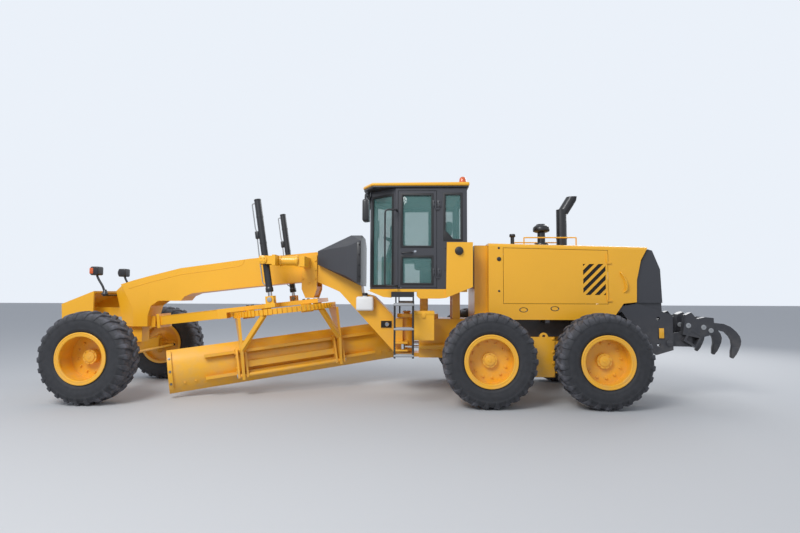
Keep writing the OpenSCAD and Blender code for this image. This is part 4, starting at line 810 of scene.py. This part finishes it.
for side, sign in SIDES:
    body, out = "lift_barrel_" + side, (0, sign, 0)
    hub = Vector((HINGE_X + 2.06, sign * LIFT_Y, TRUNNION_Z))
    eye = on_drawbar @ Vector((-CIRCLE_BACK + 0.015, sign * LIFT_Y, 0.13))
    up = (hub - eye).normalized()
    gland = [(0.0335, -0.474), (0.052, -0.474), (0.056, -0.468), (0.056, -0.418), (0.052, -0.412),
             (0.049, -0.4), (0.0335, -0.4)]
    cap = [(0, 0.88), (0.0495, 0.88), (0.0515, 0.886), (0.0515, 0.898), (0.046, 0.905), (0, 0.906)]
    bands = [[(0.0485, z - 0.012), (0.0525, z - 0.012), (0.0525, z + 0.012), (0.0485, z + 0.012)]
             for z in (0.25, 0.64)]
    parts = [turned("fitting", section, hub, up, 48) for section in (gland, cap, *bands)]
    turn = up.to_track_quat("Z", "X").to_matrix().to_4x4()
    ahead = Matrix.Identity(4) if (turn @ Vector((1, 0, 0))).x > 0 else Matrix.Rotation(math.pi, 4, "Z")
    local = Matrix.Translation(hub) @ turn @ ahead
    valve = block("valve", (0.044, -0.026, 0.33), (0.098, 0.026, 0.44), 0.007, 3)
    valve.data.transform(local)
    settled(joined([*parts, valve], "lift_fittings_" + side), body, *BLACK)
    pipes = [[(0.044, 0, 0.855), (0.088, 0, 0.855), (0.088, 0, 0.48), (0.072, 0, 0.43)],
             [(0.078, 0, 0.335), (0.084, 0, 0.1), (0.084, 0, -0.33), (0.046, 0, -0.36)]]
    pipes = [tube("pipe", at_turn(local, run), 0.0085, 0.03, 10) for run in pipes]
    settled(joined(pipes, "lift_pipes_" + side), body, *STEEL)
    outer = [(0, 0.133), (0.058, 0.133), (0.062, 0.14), (0.06, 0.152), (0.05, 0.157), (0, 0.158)]
    settled(turned("trunnion_cap_" + side, outer, hub, out, 48), FRONT, *YELLOW)
    spots = ring_spots(hub + Vector((0, sign * 0.157, 0)), out, 0.034, 4, 0.78)
    settled(hex_heads("trunnion_bolts_" + side, spots, out, 0.008, 0.008), FRONT, *YELLOW)
    collars = [turned("collar", [(0.069, x0), (0.08, x0), (0.083, x0 + 0.006), (0.083, x1 - 0.006),
                                 (0.08, x1), (0.069, x1)],
                      (HINGE_X, sign * 0.6, TRUNNION_Z), (1, 0, 0), 48)
               for x0, x1 in ((1.6, 1.636), (1.842, 1.879))]
    settled(joined(collars, "saddle_collars_" + side), FRONT, *YELLOW)
    spots = [(x, sign * 0.236, z) for x, z in ((1.206, 2.04), (1.206, 1.9), (1.206, 1.76), (1.398, 2.04),
                                               (1.398, 1.76), (1.302, 1.69))]
    settled(hex_heads("saddle_bolts_" + side, spots, out, 0.014, 0.014), FRONT, *YELLOW)


# The drawbar is a welded frame behind its ball. Bolts hold the ball's plate and the four shoes under the
# circle; caps close the pins of the lift cylinders' eyes.
def way(matrix, axis):
    """A direction given in a tilted frame."""
    return (matrix.to_3x3() @ Vector(axis)).normalized()


def bolts_on(name, matrix, spots, axis, size, tall, body, slot, mat):
    """Hexagon heads on places and along a direction of a tilted frame, hung on their body."""
    settled(hex_heads(name, at_turn(matrix, spots), way(matrix, axis), size, tall), body, slot, mat)


SHOE = (-0.034, 0.034)
spots = [(-0.13, y, z) for y in (-0.155, -0.09, 0.09, 0.155) for z in (-0.08, 0.08)]
bolts_on("ball_plate_bolts", on_drawbar, spots, (1, 0, 0), 0.014, 0.014, "drawbar", *YELLOW)
spots = [(-CIRCLE_BACK + fore * (0.431 + dx), sign * (0.395 + dy), 0.075)
         for fore in (-1, 1) for sign in (-1, 1) for dx in SHOE for dy in SHOE]
bolts_on("shoe_bolts", on_drawbar, spots, UP, 0.014, 0.014, "drawbar", *DARK)
for side, sign in SIDES:
    eye = on_drawbar @ Vector((-CIRCLE_BACK + 0.015, sign * LIFT_Y, 0.13))
    cap = [(0, 0.065), (0.033, 0.065), (0.036, 0.069), (0.034, 0.08), (0.026, 0.083), (0, 0.083)]
    caps = [turned("cap", cap, eye, (0, turn, 0)) for turn in (-1, 1)]
    settled(joined(caps, "eye_caps_" + side), "drawbar", *STEEL)
    run = at_turn(on_drawbar, [(-0.171, sign * 0.162, 0.068), (-1.23, sign * 0.407, 0.068)])
    settled(tube("drawbar_seam_" + side, run, 0.005, 0.1, 8), "drawbar", *YELLOW)


# The moldboard carries cutting edges bolted on in two lengths, end bits held by three bare steel bolts, and
# rails on its back with beads along their webs. The carrier's shoes are bolted round the rails.
on_circle = (on_drawbar @ Matrix.Translation((-CIRCLE_BACK, 0, -0.045))
             @ Matrix.Rotation(math.radians(-65), 4, "Z"))
on_blade = on_circle @ Matrix.Translation((0, -0.065, 0))
BLADE_C, BLADE_MID, BLADE_HALF = 0.38, -0.715, 1.83
EDGE_FOOT, EDGE_TALL, BOLT_Z = -1.0302, 0.118, -0.89
worn_steel = plain_coat("worn_steel", (0.24, 0.235, 0.23), 0.42, metal=0.85, scale=90, depth=0.35, fade=0.45)


def on_curve(radius, z):
    """How far forward the moldboard's curve lies at a height, in the blade's frame."""
    return BLADE_C - math.sqrt(radius ** 2 - (z - BLADE_MID) ** 2)


def behind(radius, z):
    """The way out of the moldboard's back at a height."""
    return (on_curve(radius, z) - BLADE_C, 0, z - BLADE_MID)


heights = [EDGE_FOOT + EDGE_TALL * k / 8 for k in range(9)]
for side, sign in SIDES:
    y0, y1 = sorted((sign * 0.002, sign * (BLADE_HALF - 0.001)))
    ring = [(on_curve(0.3975, z), (y0 + y1) / 2, z) for z in heights]
    ring += [(on_curve(0.4025, z), (y0 + y1) / 2, z) for z in reversed(heights)]
    edge = outline("cutting_edge_" + side, ring, y1 - y0, bevel=0.0015)
    edge.data.transform(on_blade)
    settled(edge, "blade", *YELLOW)
    ahead = -Vector(behind(0.398, BOLT_Z))
    for name, radius, count, axis, size, tall in (
            ("edge_bolts_", 0.3995, 12, ahead, 0.013, 0.01),
            ("edge_nuts_", 0.4395, 11, behind(0.44, BOLT_Z), 0.015, 0.018)):
        spots = [(on_curve(radius, BOLT_Z), sign * (0.095 + 0.152 * k), BOLT_Z) for k in range(count)]
        bolts_on(name + side, on_blade, spots, axis, size, tall, "blade", *YELLOW)
    bits = [hex_heads("bolt", at_turn(on_blade, [(on_curve(0.4715, z), sign * (BLADE_HALF - 0.031), z)]),
                      way(on_blade, behind(0.472, z)), 0.014, 0.014) for z in (-0.88, -0.7, -0.52)]
    settled(joined(bits, "end_bolts_" + side), "blade", "ladder_steel", worn_steel)


def seam(name, matrix, lines, body):
    """Straight weld beads, each between two places of a tilted frame."""
    beads = [tube("bead", at_turn(matrix, line), 0.006, 0.1, 8) for line in lines]
    settled(joined(beads, name), body, *YELLOW)


lines = [[(on_curve(0.442, z), y, z) for y in (-1.328, 1.328)] for z in (-0.556, -0.534, -0.879, -0.857)]
seam("rail_seams", on_blade, lines, "blade")
for side, sign in SIDES:
    spots = [(x, sign * (0.75 + 0.077), z) for x, z in ((-0.118, -0.512), (-0.118, -0.578), (-0.118, -0.842),
                                                         (-0.118, -0.892), (-0.19, -0.62), (-0.19, -0.78))]
    bolts_on("guide_bolts_" + side, on_circle, spots, (0, sign, 0), 0.012, 0.012, "blade_carrier", *YELLOW)
    cap = [(0, -0.002), (0.03, -0.002), (0.033, 0.003), (0.031, 0.01), (0.022, 0.013), (0, 0.013)]
    hub = on_circle @ Vector((-0.215, sign * 0.828, -0.9))
    settled(turned("tip_cap_" + side, cap, hub, way(on_circle, (0, sign, 0))), "blade_carrier", *STEEL)
    lines = [[(x, sign * y, -0.05) for x in (-0.318, 0.06)] for y in (0.729, 0.771)]
    seam("arm_seams_" + side, on_circle, lines, "circle")


# The front axle's king pins have caps, and rubber boots seal the tie rod's joints. A bolted cap holds the
# frames' hinge pin.
KING_Y = 0.83
for side, sign in SIDES:
    cap = [(0, 0.799), (0.04, 0.799), (0.044, 0.804), (0.042, 0.814), (0.03, 0.819), (0, 0.82)]
    settled(turned("king_cap_" + side, cap, (AXLE_X, sign * KING_Y, 0), UP), "knuckle_" + side, *YELLOW)
boot = [(0.0283, -0.019), (0.0315, -0.016), (0.03, -0.008), (0.0325, 0.0), (0.03, 0.008), (0.0315, 0.016),
        (0.0283, 0.019)]
boots = [turned("boot", boot, (AXLE_X - 0.25, y, HUB_Z - 0.02), UP) for y in (-KING_Y, KING_Y)]
settled(joined(boots, "tie_rod_boots"), "tie_rod", "tyre_rubber", rubber_seal)
cap = [(0, 1.238), (0.064, 1.238), (0.068, 1.243), (0.066, 1.254), (0.052, 1.26), (0, 1.26)]
settled(turned("hinge_cap", cap, (HINGE_X, 0, 0), UP, 48), REAR, *YELLOW)
spots = ring_spots((HINGE_X, 0, 1.259), UP, 0.042, 6)
settled(hex_heads("hinge_cap_bolts", spots, UP, 0.008, 0.008), REAR, *DARK)


# The tandem cases have bolted covers between the wheels. At the rear, bright pins lock the ripper's shank
# holders, loose tips sit on its teeth, and an amber reflector in a black frame is on each side plate.
reflector = lens_coat("reflector_amber", (0.85, 0.42, 0.01))
for side, sign in SIDES:
    out = (0, sign, 0)
    spots = [(TANDEM_X + x, sign * 0.815, HUB_Z + z)
             for x in (-0.165, 0.165) for z in (-0.245, -0.08, 0.08, 0.262)]
    settled(hex_heads("tandem_bolts_" + side, spots, out, 0.014, 0.014), REAR, *YELLOW)
    rim = side_block("reflector_frame", sign, (TANDEM_X - 1.838, 0.5695, 0.888),
                     (TANDEM_X - 1.744, 0.576, 1.06), 0.003)
    settled(rim, REAR, *BLACK)
    patch = side_block("reflector_" + side, sign, (TANDEM_X - 1.826, 0.575, 0.902),
                       (TANDEM_X - 1.756, 0.5805, 1.046), 0.003)
    settled(patch, REAR, "cab_glass", reflector)
    pivot = [(0, 0.5695), (0.044, 0.5695), (0.048, 0.574), (0.046, 0.582), (0.034, 0.586), (0, 0.586)]
    settled(turned("ripper_pivot_" + side, pivot, (TANDEM_X - 1.9, 0, 0.83), out), REAR, *DARK)
HOLDERS = (-0.46, -0.23, 0.0, 0.23, 0.46)
pins = []
for y in HOLDERS:
    for sign in (-1, 1):
        for x, z, r in ((-2.212, 1.082, 0.036), (-2.43, 1.058, 0.036), (-2.534, 1.012, 0.034)):
            # the cylinder's lug covers the foremost pin of the middle holder
            if y == 0.0 and x > -2.3:
                continue
            pin = [(0, 0.044), (r, 0.044), (r + 0.002, 0.047), (r, 0.056), (r * 0.6, 0.059),
                   (r * 0.36, 0.059), (r * 0.3, 0.052), (0, 0.051)]
            pins.append(turned("pin", pin, (TANDEM_X + x, y, z), (0, sign, 0), 24))
settled(joined(pins, "shank_pins"), "ripper", *STEEL)
TIP = ((-2.952, 0.77), (-2.941, 0.733), (-2.906, 0.666), (-2.856, 0.604), (-2.828, 0.622), (-2.832, 0.715),
       (-2.846, 0.77))
tips = [outline("tip", [(TANDEM_X + x, y, z) for x, z in TIP], 0.053, bevel=0.005) for y in HOLDERS[::2]]
settled(joined(tips, "tooth_tips"), "ripper", *DARK)
